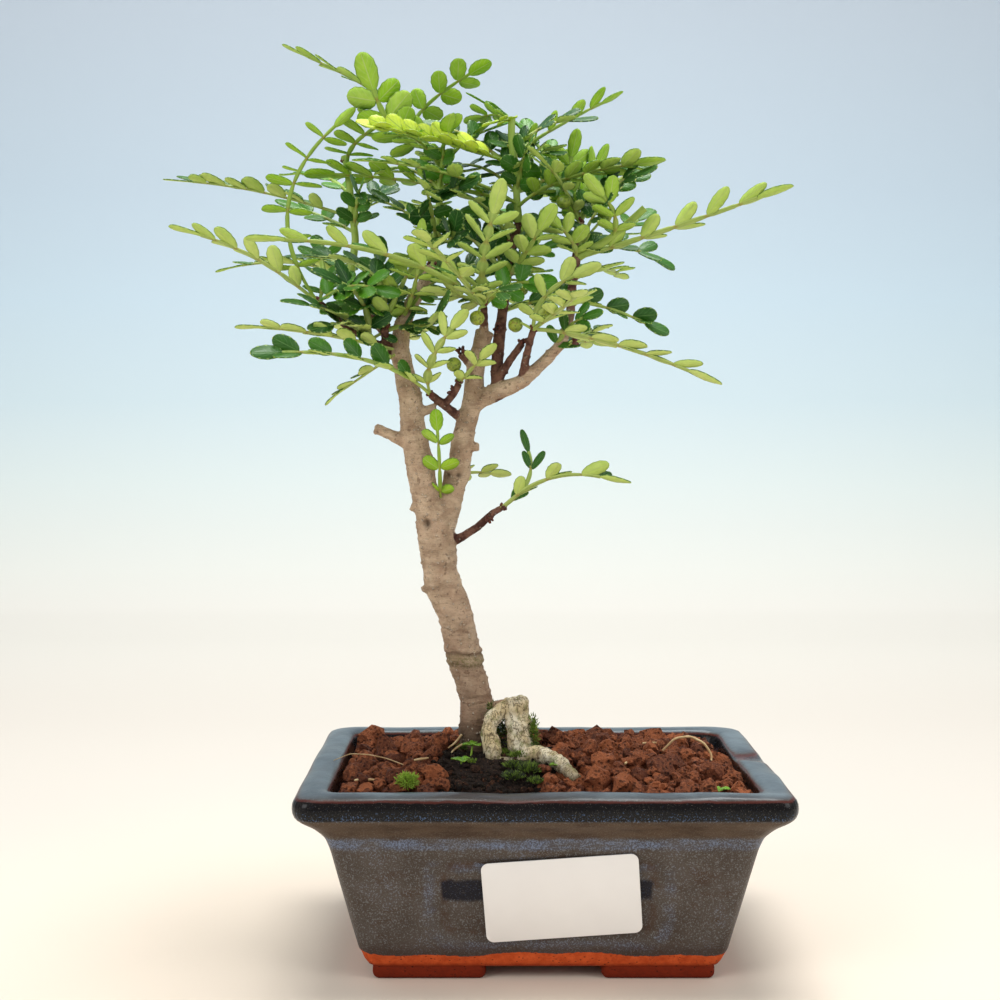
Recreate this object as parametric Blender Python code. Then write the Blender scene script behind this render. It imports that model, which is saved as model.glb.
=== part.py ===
# Chinese pepper bonsai (Zanthoxylum) in a glazed rectangular pot.
# Sizes below are in millimetres, measured from the middle of the pot's foot plane:
# +X to the right, +Y to the back, +Z up. Everything is turned into metres when a mesh is made,
# and the whole plant is moved at the end, so that its box stands centred on the origin.

import math
import random

import bmesh
import bpy
from mathutils import Matrix, Vector
from mathutils.bvhtree import BVHTree

MM = 0.001
GAP = 0.3  # clearance between pieces that touch

# Pot: half widths are given along X, the depth follows from the same wall.
RIM_HALF_X, RIM_HALF_Y = 60.8, 45.0
POT_HEIGHT = 48.4
FOOT_HEIGHT = 3.4
FOOT_LENGTH, FOOT_WIDTH = 28.0, 9.0
FLOOR_TOP = 8.0
LIP_WIDTH = 8.0
DRAIN_RADIUS, DRAIN_X = 4.5, 22.0
PANEL_WIDTH, PANEL_HEIGHT, PANEL_DEPTH, PANEL_CORNER = 57.0, 21.0, 0.9, 3.5
PANEL_CENTRE = (2.2, 21.5)
WALL_LEAN = 0.2355  # how far the wall leans out for each millimetre up
WALL_FOOT_Y, WALL_FOOT_Z = 32.1, 7.3

# Blank label on the pot's front
LABEL_WIDTH, LABEL_HEIGHT, LABEL_THICKNESS = 38.1, 21.2, 0.6
LABEL_CORNER = 1.9
LABEL_CENTRE = (4.2, 22.0)
LABEL_TURN = 4.3

# Soil and gravel
MOUND_BASE, MOUND_RISE = 44.2, 6.4
MOUND_HALF_X, MOUND_HALF_Y = 52.0, 37.0
GRAVEL_DEPTH = 4.0
BED_DROP = 0.9  # how far the bed between the granules lies below the mound
GRAIN_PITCH = 3.9  # from one heap of the relief to the next
GRAIN_TOPS, GRAIN_DIPS = (0.4, 2.6), (-2.2, -0.9)
PATCH_CENTRE, PATCH_RADII = (-12.0, -9.5), (16.5, 23.0)

# Leaves
BLADE = 0.6
RIB_WIDTH = 0.9
LEAFLET_LENGTH, LEAFLET_WIDTH, LEAFLET_FOOT = 7.2, 4.7, 1.1
SPACING = 1.38  # pairs stand at least this many leaflet widths apart
PETIOLE = 0.24  # share of the rib below the first leaflets
CURVE_STEPS = 40
LEAFLET_TURNS = ((0, 0), (25, 0), (-22, 0), (0, 16), (45, 8), (-40, 10), (30, -18))  # fold, sweep
BUD_RADIUS = 1.2
BUD_START, BUD_STEP = 6.0, 0.1  # each bud slides in from this far out until it meets the wood
BERRY_RADIUS = 1.9

# Wood: one list for each stem, as x, y, z and radius along its middle line
STEMS = {
    "trunk": (8, [
        (-16.5, 5, 37, 4.9), (-16.5, 5, 50, 5.3), (-16.7, 5, 56, 4.7), (-16.7, 5, 62, 4.5), (-18.3, 5, 68, 4.5),
        (-20, 5, 74, 4.9), (-21.2, 4.5, 79, 4.6), (-22.7, 4, 86.7, 4.7), (-25.9, 4, 93.4, 5),
        (-26.7, 3.5, 98, 4.6), (-27.2, 3, 103.4, 5), (-28, 2, 111.5, 5.3), (-29.2, 1, 116, 4.2)]),
    "left leader": (7, [
        (-28, 2, 109, 4.2), (-30.8, 0, 119.7, 3.8), (-32.1, -1, 127.7, 3.8), (-33.7, -2, 135.7, 3.5),
        (-34.1, -3, 143.6, 3.1), (-35.5, -3, 148.9, 2.9), (-37.1, -3, 156.8, 2.6), (-36.6, -2, 163.5, 2.3),
        (-33.7, -1, 170.3, 2), (-30.6, 0, 174.9, 1.8), (-28.7, 0, 179.4, 1.5)]),
    "right leader": (7, [
        (-27.5, 3, 108, 4.2), (-25.1, 3, 114.2, 4), (-22.8, 3, 121, 3.1), (-22.2, 3, 123.8, 4), (-21.5, 2.5, 126.5, 3.2),
        (-20.5, 2, 133, 3.1), (-19.4, 1, 138.3, 2.9), (-17.5, 0, 145, 2.8), (-17.2, 0, 151.7, 2.4),
        (-15.6, -1, 158.3, 2.3), (-14.6, -2, 161.9, 2.5)]),
    "right limb": (6, [
        (-18.6, 0.5, 142.6, 2.8), (-11.9, -2, 145.5, 2.4), (-4.8, -4, 148.3, 1.9), (1.3, -5, 153.8, 1.6),
        (5.7, -6, 158.5, 1.5), (7.8, -6, 165.8, 1.3), (8.4, -5, 173.8, 1.2), (9.7, -4, 181.8, 1.3),
        (10.5, -4, 190.5, 1.4)]),
    "upright branch": (6, [
        (-11.2, -2, 144.5, 1.8), (-11.4, 0, 153, 1.7), (-10.6, 1, 162.4, 1.6), (-9.2, 2, 171.9, 1.4),
        (-8.4, 2, 180.7, 1.3), (-7.1, 2, 187.2, 1.2), (-5.5, 1, 191.3, 1.1)]),
    "cut stub": (6, [(-34.5, -1.5, 132, 2), (-39, -3, 134.2, 1.5), (-43.6, -4, 136.1, 1.5)]),
    "left knob": (5, [(-30, 1, 114, 1.6), (-34.3, 0.5, 115.5, 1.3)]),
    "trunk spur": (5, [(-27, 3, 93, 1.5), (-31.4, 2, 93, 0.9)]),
    "small stub": (5, [(-33, -3, 140, 1.6), (-27.6, -4, 141.6, 1.1)]),
    "leader knob": (5, [(-20.5, 2, 131, 1.5), (-16.2, 1, 131.2, 1.2)]),
    "leader stub": (5, [(-17.4, 0, 152.6, 1.7), (-20.9, -1, 156.2, 1.4)]),
    "twig by limb": (5, [(-11.2, -2, 149, 1.3), (-8, -4, 154, 1.1), (-4.7, -6, 158.5, 1)]),
    "forked twig": (5, [(-4.8, -4, 149, 1.3), (-3.4, -8, 156.5, 1), (-2, -11, 161.7, 1)]),
    "crossing twig": (5, [(-20.5, 1, 138.5, 1.3), (-25.6, -4, 142.4, 1.2), (-28.8, -6, 144.9, 1.1)]),
    "hooked twig": (5, [(-25.4, -4, 142.2, 1.1), (-22.7, -7, 145.1, 1), (-21.3, -8, 147.8, 1)]),
    "left twig": (5, [
        (-36.6, -3, 154, 1.4), (-44.9, -5, 159.2, 1.2), (-51.2, -8, 163.3, 1.1), (-54.9, -9, 166.6, 1.1),
        (-58, -10, 168.7, 1)]),
    "back twig": (5, [
        (-36.8, -2.5, 155.5, 1.3), (-41.9, 2, 161.7, 1.1), (-47.1, 6, 169.6, 1), (-51.5, 10, 177.3, 0.9)]),
    "top twig": (5, [(-14.9, -1.6, 160, 1.4), (-14.8, -5, 164.5, 1.1), (-14.8, -8, 168, 1)]),
    "low twig": (5, [
        (-25, 3, 104.5, 1.3), (-16.4, 0, 109.8, 1.1), (-12.7, -2, 113.6, 1), (-10.1, -3, 115, 0.9)]),
    "root arch": (6, [(-16, 4, 60, 2.4), (-11.6, 0.5, 61.8, 2.2), (-7.6, -2.2, 62.4, 2.4)]),
    "left root": (7, [
        (-9.6, -2, 62.8, 1.9), (-12.3, -3.4, 61, 2.1), (-13.8, -4.9, 58.2, 2.2), (-13.5, -5.9, 55, 2.3),
        (-12.8, -7.3, 51.4, 2.4), (-12.6, -8, 46.8, 2.2)]),
    "right root": (7, [
        (-6.4, -2.4, 64.6, 2.8), (-5.9, -3.4, 59.1, 3.1), (-5.3, -4.8, 53.8, 3.1), (-4.9, -6, 46.8, 2.5)]),
    "long root": (6, [
        (-5.4, -5, 52.6, 1.8), (-1.2, -7.6, 52.4, 1.9), (3.2, -15, 51.4, 1.7), (6, -20.5, 50.4, 1.5),
        (8.2, -25.4, 49.2, 1)]),
}
ROOT_HOLES = {  # plain holes in the soil: middle, radius
    "trunk": ((-16.5, 5), 5.8),
    "left root": ((-12.7, -7.7), 3.2),
    "right root": ((-5.1, -5.7), 3.9),
}

# Each spray grows from a bud that sits on the wood at "seat" and points along "toward".
# A green shoot runs through the points of "shoot". A leaf is
# (base or None for the bud, a point on its way, tip, pairs of leaflets, face, size).
# face is the angle of its top: 0 is up, 90 faces the front, -90 the back.
SPRAYS = {
    "left_twig_leaves": {
        "seat": (-58, -10, 168.7), "toward": (-0.8, -0.1, 0.6),
        "leaves": [
            (None, (-65.2, -12, 195), (-49, -6, 219.5), 5, -60, 1.0),
            (None, (-76, -15, 181), (-94, -20, 187), 5, -12, 1.0),
            (None, (-58, 3, 178), (-62, 16, 190), 3, 50, 1.0),
        ],
        "berries": [],
    },
    "left_leader_side_leaves": {
        "seat": (-37, -3, 156.5), "toward": (-0.5, -0.85, -0.1),
        "leaves": [
            (None, (-57, -15, 160.2), (-77, -21, 161.8), 5, -25, 1.0),
            (None, (-46, -13, 149.5), (-55, -20, 142.5), 3, -45, 0.9),
        ],
        "berries": [],
    },
    "back_twig_leaves": {
        "seat": (-51.5, 10, 177.3), "toward": (0.1, 0.1, 1),
        "shoot": [(-50.1, 12, 188), (-51.2, 12, 196), (-52.5, 13, 208.6), (-53.4, 13, 211.3)],
        "leaves": [
            ((-51, 12, 194), (-76, 5, 200.5), (-98.6, -5, 202), 6, 8, 1.0),
            ((-50.4, 12, 190), (-62, 17, 196), (-73, 20, 199.5), 3, 30, 1.0),
            ((-52.5, 13, 208.6), (-48.3, 5, 214.5), (-34.8, -4, 219.4), 4, -45, 1.0),
            ((-51.5, 12.5, 200), (-62, 30, 209), (-75, 44, 211), 3, 10, 1.0),
            (None, (-58, 28, 184), (-63, 46, 186), 3, 0, 1.0),
            (None, (-69, 14, 182), (-88, 12, 179.5), 4, 0, 0.9),
        ],
        "berries": [],
    },
    "back_twig_low_leaves": {
        "seat": (-44, 3.6, 165), "toward": (-0.2, 0.9, -0.6),
        "leaves": [
            (None, (-50, 22, 166), (-56, 40, 163), 3, 5, 1.0),
        ],
        "berries": [],
    },
    "front_twig_leaves": {
        "seat": (-44.9, -5, 159.2), "toward": (0.5, -0.2, 0.7),
        "leaves": [
            (None, (-48, -5, 177), (-69.5, -2, 178.4), 4, -50, 1.0),
            (None, (-54, -14, 166), (-66, -19, 167.5), 4, 25, 0.95),
            (None, (-43.5, -2, 171), (-42, 3, 183), 3, 60, 0.95),
        ],
        "berries": [],
    },
    "left_leader_top_leaves": {
        "seat": (-28.7, 0, 179.4), "toward": (0.2, 0, 1),
        "shoot": [(-27, 1, 193), (-26.3, 2, 205.8), (-28, 2, 209.6), (-29.9, 2, 212)],
        "leaves": [
            ((-29.9, 2, 212), (-42, 5, 225.5), (-69, 6, 240.5), 5, 20, 1.0),
            ((-29.9, 2, 212), (-39.5, -6, 216), (-45.7, -10, 231.5), 4, -60, 1.0),
            ((-29.4, 2, 211.5), (-33, 13, 222.5), (-13.5, 9, 236), 5, -45, 0.95),
            ((-27, 2, 208), (-24, -5, 214), (-20.5, -9, 217.5), 2, -50, 0.7),
            ((-26.9, 1.2, 195), (-31, 24, 199), (-38, 46, 202), 4, 0, 1.0),
            ((-27.4, 1, 188), (-24, 24, 193), (-22, 46, 191), 4, 0, 1.0),
            ((-27.4, 1, 189), (-23.5, -10, 185), (-22, -18, 192.5), 3, 75, 0.95),
            (None, (-21, 9, 180), (-12, 16, 184), 3, 60, 0.95),
        ],
        "berries": [],
    },
    "left_leader_front_leaves": {
        "seat": (-36.4, -2, 165), "toward": (0.35, -0.9, 0.3),
        "leaves": [
            (None, (-32, -13, 176), (-31, -17, 189), 3, -65, 0.95),
            (None, (-28.6, -11, 163), (-24.5, -17, 171.5), 3, 40, 0.9),
        ],
        "berries": [],
    },
    "left_leader_back_leaves": {
        "seat": (-37.1, -3, 157), "toward": (-0.2, 0.95, 0.2),
        "leaves": [
            (None, (-36, 20, 164), (-36, 42, 162), 4, 0, 1.0),
        ],
        "berries": [],
    },
    "crossing_twig_leaves": {
        "seat": (-28.8, -6, 144.9), "toward": (-0.6, -0.6, 0.5),
        "leaves": [
            (None, (-46, -22, 153.5), (-71.5, -31, 154), 6, 28, 1.0),
            (None, (-27, -16, 153), (-20, -21, 165), 4, 50, 0.95),
        ],
        "berries": [],
    },
    "hooked_twig_leaves": {
        "seat": (-21.3, -8, 147.8), "toward": (0.1, -0.5, 0.9),
        "leaves": [
            (None, (-16.5, -13, 153), (-12, -17, 157), 2, -30, 0.75),
        ],
        "berries": [(-22.6, -10.6, 152.6)],
    },
    "top_twig_leaves": {
        "seat": (-14.8, -8, 168), "toward": (-0.1, -0.5, 0.9),
        "leaves": [
            (None, (-14.8, -17, 180), (-10, -24, 197.8), 4, -80, 1.1),
            (None, (-39, -23, 179.5), (-72.5, -31, 182.3), 6, -28, 1.0),
            (None, (-24, -32, 177), (-30, -52, 181), 3, 0, 1.0),
            (None, (-23, -9, 171), (-30.5, -10, 170), 2, -35, 1.0),
        ],
        "berries": [(-16.6, -11.5, 164.6)],
    },
    "upright_side_leaves": {
        "seat": (-9.9, 1.5, 167.2), "toward": (0.85, 0.5, 0.1),
        "leaves": [
            (None, (11, 8, 170.6), (35, 10, 162), 5, 35, 1.0),
            (None, (-3, 26, 172), (2, 45, 169), 4, 0, 1.0),
        ],
        "berries": [],
    },
    "upright_front_leaves": {
        "seat": (-8.8, 2, 176), "toward": (0.3, -0.95, 0.1),
        "leaves": [
            (None, (-3, -12, 183), (3, -17, 193), 3, -60, 0.95),
        ],
        "berries": [(-5, -3.5, 173)],
    },
    "upright_top_leaves": {
        "seat": (-5.5, 1, 191.3), "toward": (0, 0, 1),
        "shoot": [(-6, 0, 196), (-6.3, 0, 202.4), (-7.1, -1, 209), (-7.6, -1, 214.4), (-7.4, -1, 218.9)],
        "leaves": [
            ((-6.8, -0.6, 206.5), (-27, -12, 210.5), (-46.5, -22, 212.8), 6, -5, 1.0),
            ((-6, 0, 196), (-24, -14, 201.5), (-46.7, -28, 202.4), 5, 15, 1.0),
            ((-6, 0, 196.5), (-37.7, 9, 204), (-63.2, 9, 205.4), 5, -30, 1.0),
            ((-6, 0, 195), (8, -9, 201.5), (31, -16, 204.3), 5, -20, 1.0),
            ((-7.1, -1, 209), (6.4, 8, 219), (23.3, 15, 229), 4, 35, 0.95),
            ((-6.2, 0, 199), (2, 24, 204), (7, 46, 204), 4, 0, 1.0),
            ((-7.5, -1, 217.5), (-13, 6, 221), (-20, 10, 219), 2, -40, 0.7),
            ((-7.4, -1, 218), (-11, -5, 217), (-15, -8, 214.5), 2, -20, 0.55),
            (None, (-13, 5, 195), (-21, 7, 193.5), 2, 60, 0.95),
        ],
        "berries": [],
    },
    "upright_back_leaves": {
        "seat": (-7.4, 2, 186), "toward": (-0.2, 0.95, 0.2),
        "leaves": [
            (None, (-11, 28, 197), (-14, 50, 199), 4, 0, 1.0),
        ],
        "berries": [],
    },
    "limb_top_leaves": {
        "seat": (10.5, -4, 190.5), "toward": (0.1, 0.2, 1),
        "leaves": [
            (None, (-1, 12, 215), (-19, 8, 226.5), 5, 15, 1.0),
            (None, (14, 4, 203), (19, 9, 213), 4, -40, 0.95),
            (None, (20, 18, 204), (31, 38, 208), 4, 0, 1.0),
            (None, (6, 4, 203), (2, 8, 213), 3, -40, 0.9),
            (None, (8, 2, 204), (11, 0, 215), 3, -45, 0.9),
        ],
        "berries": [(6, -9.6, 195)],
    },
    "limb_side_leaves": {
        "seat": (9.6, -4, 181), "toward": (0.8, -0.3, 0.5),
        "shoot": [(18.9, -8, 186.1), (27, -10, 193.3)],
        "leaves": [
            (None, (37.5, -13, 189), (62.7, -20, 197.4), 6, -32, 1.0),
            (None, (22, 1, 184.6), (36, 6, 179), 3, 45, 0.95),
            (None, (22, 12, 190), (33, 22, 198), 4, 40, 1.0),
            ((18.9, -8, 186.1), (18, -15, 192.5), (10.5, -18, 199.5), 3, -50, 0.9),
            (None, (7, -11, 186), (-0.5, -15, 191.5), 3, -60, 0.9),
        ],
        "berries": [(17, -4.6, 192)],
    },
    "limb_back_leaves": {
        "seat": (8.6, -5, 175), "toward": (0.3, 0.95, 0),
        "leaves": [
            (None, (19, 20, 181), (26, 41, 180), 4, 0, 1.0),
        ],
        "berries": [],
    },
    "limb_low_leaves": {
        "seat": (3.2, -5.4, 156), "toward": (0.5, 0.8, 0.1),
        "leaves": [
            (None, (12, 4, 159.5), (21, 8, 158), 3, -30, 0.9),
            (None, (14, 18, 163), (20, 30, 165), 3, 30, 0.95),
        ],
        "berries": [],
    },
    "forked_twig_leaves": {
        "seat": (-2, -11, 161.7), "toward": (0.3, -0.3, 0.9),
        "leaves": [
            (None, (18, -17, 157.6), (44.2, -23, 147.2), 5, -40, 1.0),
            (None, (2, -15, 171), (14.5, -20, 177), 3, -55, 0.95),
            (None, (5, -28, 166), (8, -46, 168), 3, 0, 1.0),
        ],
        "berries": [(2.6, -12.6, 166.4), (-6.6, -9.2, 163)],
    },
    "crotch_leaf": {
        "seat": (-26.5, 1, 116), "toward": (0.05, -1, 0.25),
        "leaves": [
            (None, (-26.6, -8, 129), (-27.5, -9.5, 139.5), 3, 85, 0.66),
        ],
        "berries": [],
    },
    "leader_knot_leaf": {
        "seat": (-22.2, 3, 123.8), "toward": (0.75, 0.6, 0),
        "leaves": [
            (None, (-13.5, 8.5, 123.6), (-8, 9.5, 122.6), 2, 20, 0.6),
        ],
        "berries": [],
    },
    "low_twig_leaves": {
        "seat": (-10.1, -3, 115), "toward": (0.9, -0.2, 0.4),
        "leaves": [
            (None, (5, -9, 123.6), (22, -15, 121.2), 4, -40, 1.0),
            (None, (-2.5, 2, 124), (-5.5, 6, 135), 3, 60, 0.9),
        ],
        "berries": [],
    },
}

COLOURS = {
    "glaze": ((0.055, 0.062, 0.085), 0.25),
    "soil": ((0.03, 0.018, 0.012), 0.95),
    "gravel": ((0.19, 0.05, 0.026), 0.95),
    "bark": ((0.4, 0.3, 0.2), 0.85),
    "leaf": ((0.16, 0.36, 0.06), 0.45),
    "paper": ((0.86, 0.84, 0.81), 0.6),
}


def clear_scene():
    for item in list(bpy.data.objects):
        bpy.data.objects.remove(item, do_unlink=True)


def material(name):
    found = bpy.data.materials.get(name)
    if found:
        return found
    colour, roughness = COLOURS[name]
    made = bpy.data.materials.new(name)
    made.use_nodes = True
    shader = made.node_tree.nodes["Principled BSDF"]
    shader.inputs["Base Color"].default_value = (*colour, 1)
    shader.inputs["Roughness"].default_value = roughness
    shader.inputs["Metallic"].default_value = 0
    return made


def new_object(name, points, faces, finish):
    mesh = bpy.data.meshes.new(name)
    mesh.from_pydata([Vector(point) * MM for point in points], [], faces)
    mesh.validate()
    made = bpy.data.objects.new(name, mesh)
    made.data.materials.append(material(finish))
    bpy.context.scene.collection.objects.link(made)
    return made


def joined(name, shapes, finish):
    """One closed body from several overlapping closed shapes, each given as points and faces."""
    first = new_object(name, *shapes[0], finish)
    if len(shapes) == 1:
        return first
    others = bpy.data.collections.new(name + " repeats")
    bpy.context.scene.collection.children.link(others)
    for points, faces in shapes[1:]:
        piece = new_object(name + " repeat", points, faces, finish)
        bpy.context.scene.collection.objects.unlink(piece)
        others.objects.link(piece)
    union = first.modifiers.new("union", "BOOLEAN")
    union.operation = "UNION"
    union.solver = "MANIFOLD"
    union.operand_type = "COLLECTION"
    union.collection = others
    apply_modifiers(first)
    for piece in list(others.objects):
        bpy.data.objects.remove(piece, do_unlink=True)
    bpy.data.collections.remove(others)
    keep_outer_body(first.data)
    return first


def keep_outer_body(mesh):
    """Fills hollows that the union sealed and drops loose scraps: only the largest body stays."""
    body = bmesh.new()
    body.from_mesh(mesh)
    bmesh.ops.triangulate(body, faces=body.faces[:])
    waiting = set(body.faces)
    groups = []
    while waiting:
        group, edge = [], [waiting.pop()]
        while edge:
            face = edge.pop()
            group.append(face)
            for near in {other for side in face.edges for other in side.link_faces} & waiting:
                waiting.discard(near)
                edge.append(near)
        groups.append(group)
    groups.sort(key=signed_volume, reverse=True)
    extra = {vertex for group in groups[1:] for face in group for vertex in face.verts}
    if extra:
        bmesh.ops.delete(body, geom=list(extra), context="VERTS")
    body.to_mesh(mesh)
    body.free()


def signed_volume(faces):
    corners = [[vertex.co for vertex in face.verts] for face in faces]
    return sum(a.dot(b.cross(c)) for a, b, c in corners)


def apply_modifiers(item):
    graph = bpy.context.evaluated_depsgraph_get()
    finished = bpy.data.meshes.new_from_object(item.evaluated_get(graph))
    item.modifiers.clear()
    item.data = finished


def cut(item, points, faces, name):
    """A cutter, hidden from the render, that takes its shape out of the item."""
    cutter = new_object(name, points, faces, "glaze")
    cutter.hide_render = True
    cutter.display_type = "WIRE"
    difference = item.modifiers.new(name, "BOOLEAN")
    difference.operation = "DIFFERENCE"
    difference.solver = "MANIFOLD"
    difference.object = cutter
    return cutter


def rounded_rectangle(half_x, half_y, corner, z, steps=3):
    """One ring of points, counter-clockwise from the right side, with round corners."""
    ring = []
    for quarter in range(4):
        turn = quarter * math.pi / 2
        centre_x = (half_x - corner) * (1 if quarter in (0, 3) else -1)
        centre_y = (half_y - corner) * (1 if quarter in (0, 1) else -1)
        for step in range(steps + 1):
            angle = turn + step * math.pi / 2 / steps
            ring.append((centre_x + corner * math.cos(angle), centre_y + corner * math.sin(angle), z))
    return ring


def lofted(rings):
    """Closed body through rings of equally many points, from the first, which is capped, to the last."""
    count = len(rings[0])
    points = [point for ring in rings for point in ring]
    faces = [tuple(reversed(range(count)))]
    for level in range(len(rings) - 1):
        for index in range(count):
            after = (index + 1) % count
            low, high = level * count, (level + 1) * count
            faces.append((low + index, low + after, high + after, high + index))
    last = (len(rings) - 1) * count
    faces.append(tuple(last + index for index in range(count)))
    return points, faces


def cylinder(centre, radius, low, high, sides=16):
    circle = [(centre[0] + radius * math.cos(math.tau * i / sides), centre[1] + radius * math.sin(math.tau * i / sides))
              for i in range(sides)]
    return lofted([[(x, y, z) for x, y in circle] for z in (low, high)])


def tube(path, sides):
    """Closed tube along x, y, z, radius points, its rings turned as little as possible."""
    middles = [Vector(point[:3]) for point in path]
    ahead = [(middles[min(i + 1, len(path) - 1)] - middles[max(i - 1, 0)]).normalized() for i in range(len(path))]
    side = ahead[0].orthogonal().normalized()
    rings = []
    for middle, forward, point in zip(middles, ahead, path):
        side = (side - forward * side.dot(forward)).normalized()
        across = forward.cross(side)
        turns = [math.tau * (i + 0.5) / sides for i in range(sides)]
        rings.append([middle + (side * math.cos(t) + across * math.sin(t)) * point[3] for t in turns])
    return lofted(rings)


def pot_inner_half(z):
    """Half width and half depth of the pot's inside at this height."""
    rise = (z - FLOOR_TOP) / (POT_HEIGHT - FLOOR_TOP)
    return 41 + (RIM_HALF_X - LIP_WIDTH - 41) * rise, 27.5 + (RIM_HALF_Y - LIP_WIDTH - 27.5) * rise


def make_pot():
    # Outer wall from the foot plane of the body to the rim: z, half width, half depth, corner radius
    outer = [
        (FOOT_HEIGHT, 43.8, 30.2, 4), (4.2, 44.6, 31, 4), (6.8, 45, 31.4, 4.2), (7.3, 45.7, 32.1, 4.4),
        (20, 48.9, 35.1, 4.4), (34, 52.4, 38.4, 4.4), (36.8, 53.6, 39.2, 4.5), (39.6, 56.6, 41.6, 4.6),
        (42, 60.1, 44.4, 4.6), (42.9, RIM_HALF_X, RIM_HALF_Y, 4.6), (46.4, RIM_HALF_X, RIM_HALF_Y, 4.6),
        (47.6, RIM_HALF_X - 0.8, RIM_HALF_Y - 0.8, 4.4), (48.1, RIM_HALF_X - 2.4, RIM_HALF_Y - 2.4, 3.6),
        (POT_HEIGHT, RIM_HALF_X - 7, RIM_HALF_Y - 7, 3.4)]
    lip_x, lip_y = RIM_HALF_X - LIP_WIDTH, RIM_HALF_Y - LIP_WIDTH
    inner = [(POT_HEIGHT - 0.5, lip_x, lip_y, 4), (FLOOR_TOP, *pot_inner_half(FLOOR_TOP), 4)]
    rings = [rounded_rectangle(half_x, half_y, corner, z, 2) for z, half_x, half_y, corner in outer + inner]
    shapes = [lofted(rings)]
    for side_x in (-1, 1):
        for side_y in (-1, 1):
            middle_x, middle_y = side_x * (42.3 - FOOT_LENGTH / 2), side_y * (30 - FOOT_WIDTH / 2)
            foot = [
                [(x + middle_x, y + middle_y, z) for x, y, _ in rounded_rectangle(
                    FOOT_LENGTH / 2 - inset, FOOT_WIDTH / 2 - inset, 2, z, 2)]
                for z, inset in ((0, 0.9), (0.9, 0), (FOOT_HEIGHT + 0.8, 0))]
            shapes.append(lofted(foot))
    pot = joined("pot", shapes, "glaze")
    cutters = [
        cut(pot, *cylinder((side * DRAIN_X, 0), DRAIN_RADIUS, FOOT_HEIGHT - 2, FLOOR_TOP + 2), "drain cutter")
        for side in (-1, 1)]
    cutters.append(cut(pot, *on_front_wall(PANEL_CENTRE, (PANEL_WIDTH, PANEL_HEIGHT), PANEL_CORNER, 0, (-PANEL_DEPTH, 4)),
                       "panel cutter"))
    apply_modifiers(pot)
    for cutter in cutters:
        bpy.data.objects.remove(cutter, do_unlink=True)
    return pot


def on_front_wall(centre, size, corner, turn, depths, steps=3):
    """A rounded plate lying on the pot's front wall, from depths[0] to depths[1] outside its surface."""
    out = Vector((0, -1, -WALL_LEAN)).normalized()
    up = Vector((0, -WALL_LEAN, 1)).normalized()
    middle = Vector((centre[0], -(WALL_FOOT_Y + (centre[1] - WALL_FOOT_Z) * WALL_LEAN), centre[1]))
    spin = math.radians(turn)
    right = Vector((1, 0, 0)) * math.cos(spin) + up * math.sin(spin)
    above = up * math.cos(spin) - Vector((1, 0, 0)) * math.sin(spin)
    flat = rounded_rectangle(size[0] / 2, size[1] / 2, corner, 0, steps)
    return lofted([[middle + right * x + above * y + out * depth for x, y, _ in flat] for depth in depths])


def make_label():
    plate = on_front_wall(LABEL_CENTRE, (LABEL_WIDTH, LABEL_HEIGHT), LABEL_CORNER, LABEL_TURN,
                          (GAP, GAP + LABEL_THICKNESS), 2)
    return new_object("blank_label", *plate, "paper")


def mound(x, y):
    """Height of the ground in the pot: a low mound, highest near the trunk."""
    across = max(0, 1 - (x / MOUND_HALF_X) ** 2)
    along = max(0, 1 - (y / MOUND_HALF_Y) ** 2)
    return MOUND_BASE + MOUND_RISE * across * along


def patch_ring(scale, z=None, count=16):
    """Points round the bare patch of soil by the trunk."""
    ring = []
    for quarter in range(4):
        for step in range(count // 4):
            angle = quarter * math.pi / 2 + (step + 0.5) * math.pi / 2 / (count // 4)
            x = PATCH_CENTRE[0] + PATCH_RADII[0] * scale * math.cos(angle)
            y = PATCH_CENTRE[1] + PATCH_RADII[1] * scale * math.sin(angle)
            ring.append((x, y, mound(x, y) if z is None else z))
    return ring


def wall_ring(z, clear):
    half_x, half_y = pot_inner_half(z)
    return rounded_rectangle(half_x - clear, half_y - clear, 4 - clear, z)


def between(first, second, share, lift=0.0):
    """A ring part of the way between two rings, laid on the mound."""
    ring = []
    for a, b in zip(first, second):
        x, y = a[0] + (b[0] - a[0]) * share, a[1] + (b[1] - a[1]) * share
        ring.append((x, y, mound(x, y) + lift))
    return ring


def make_soil():
    edge = patch_ring(1 - GAP / PATCH_RADII[0])
    low = -GRAVEL_DEPTH - GAP - BED_DROP
    wall = wall_ring(MOUND_BASE + low, GAP)
    rings = [
        wall_ring(FLOOR_TOP + GAP, GAP), wall,
        *(between(wall, edge, share, low) for share in (0.33, 0.67)),
        [(x, y, mound(x, y) + low) for x, y, _ in edge],
        edge, patch_ring(0.55), patch_ring(0.15)]
    soil = new_object("soil", *lofted(rings), "soil")
    cutters = [
        cut(soil, *cylinder(centre, radius, 34 if name == "trunk" else 44, 60, 12), "hole for " + name)
        for name, (centre, radius) in ROOT_HOLES.items()]
    apply_modifiers(soil)
    for cutter in cutters:
        bpy.data.objects.remove(cutter, do_unlink=True)
    return soil


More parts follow.
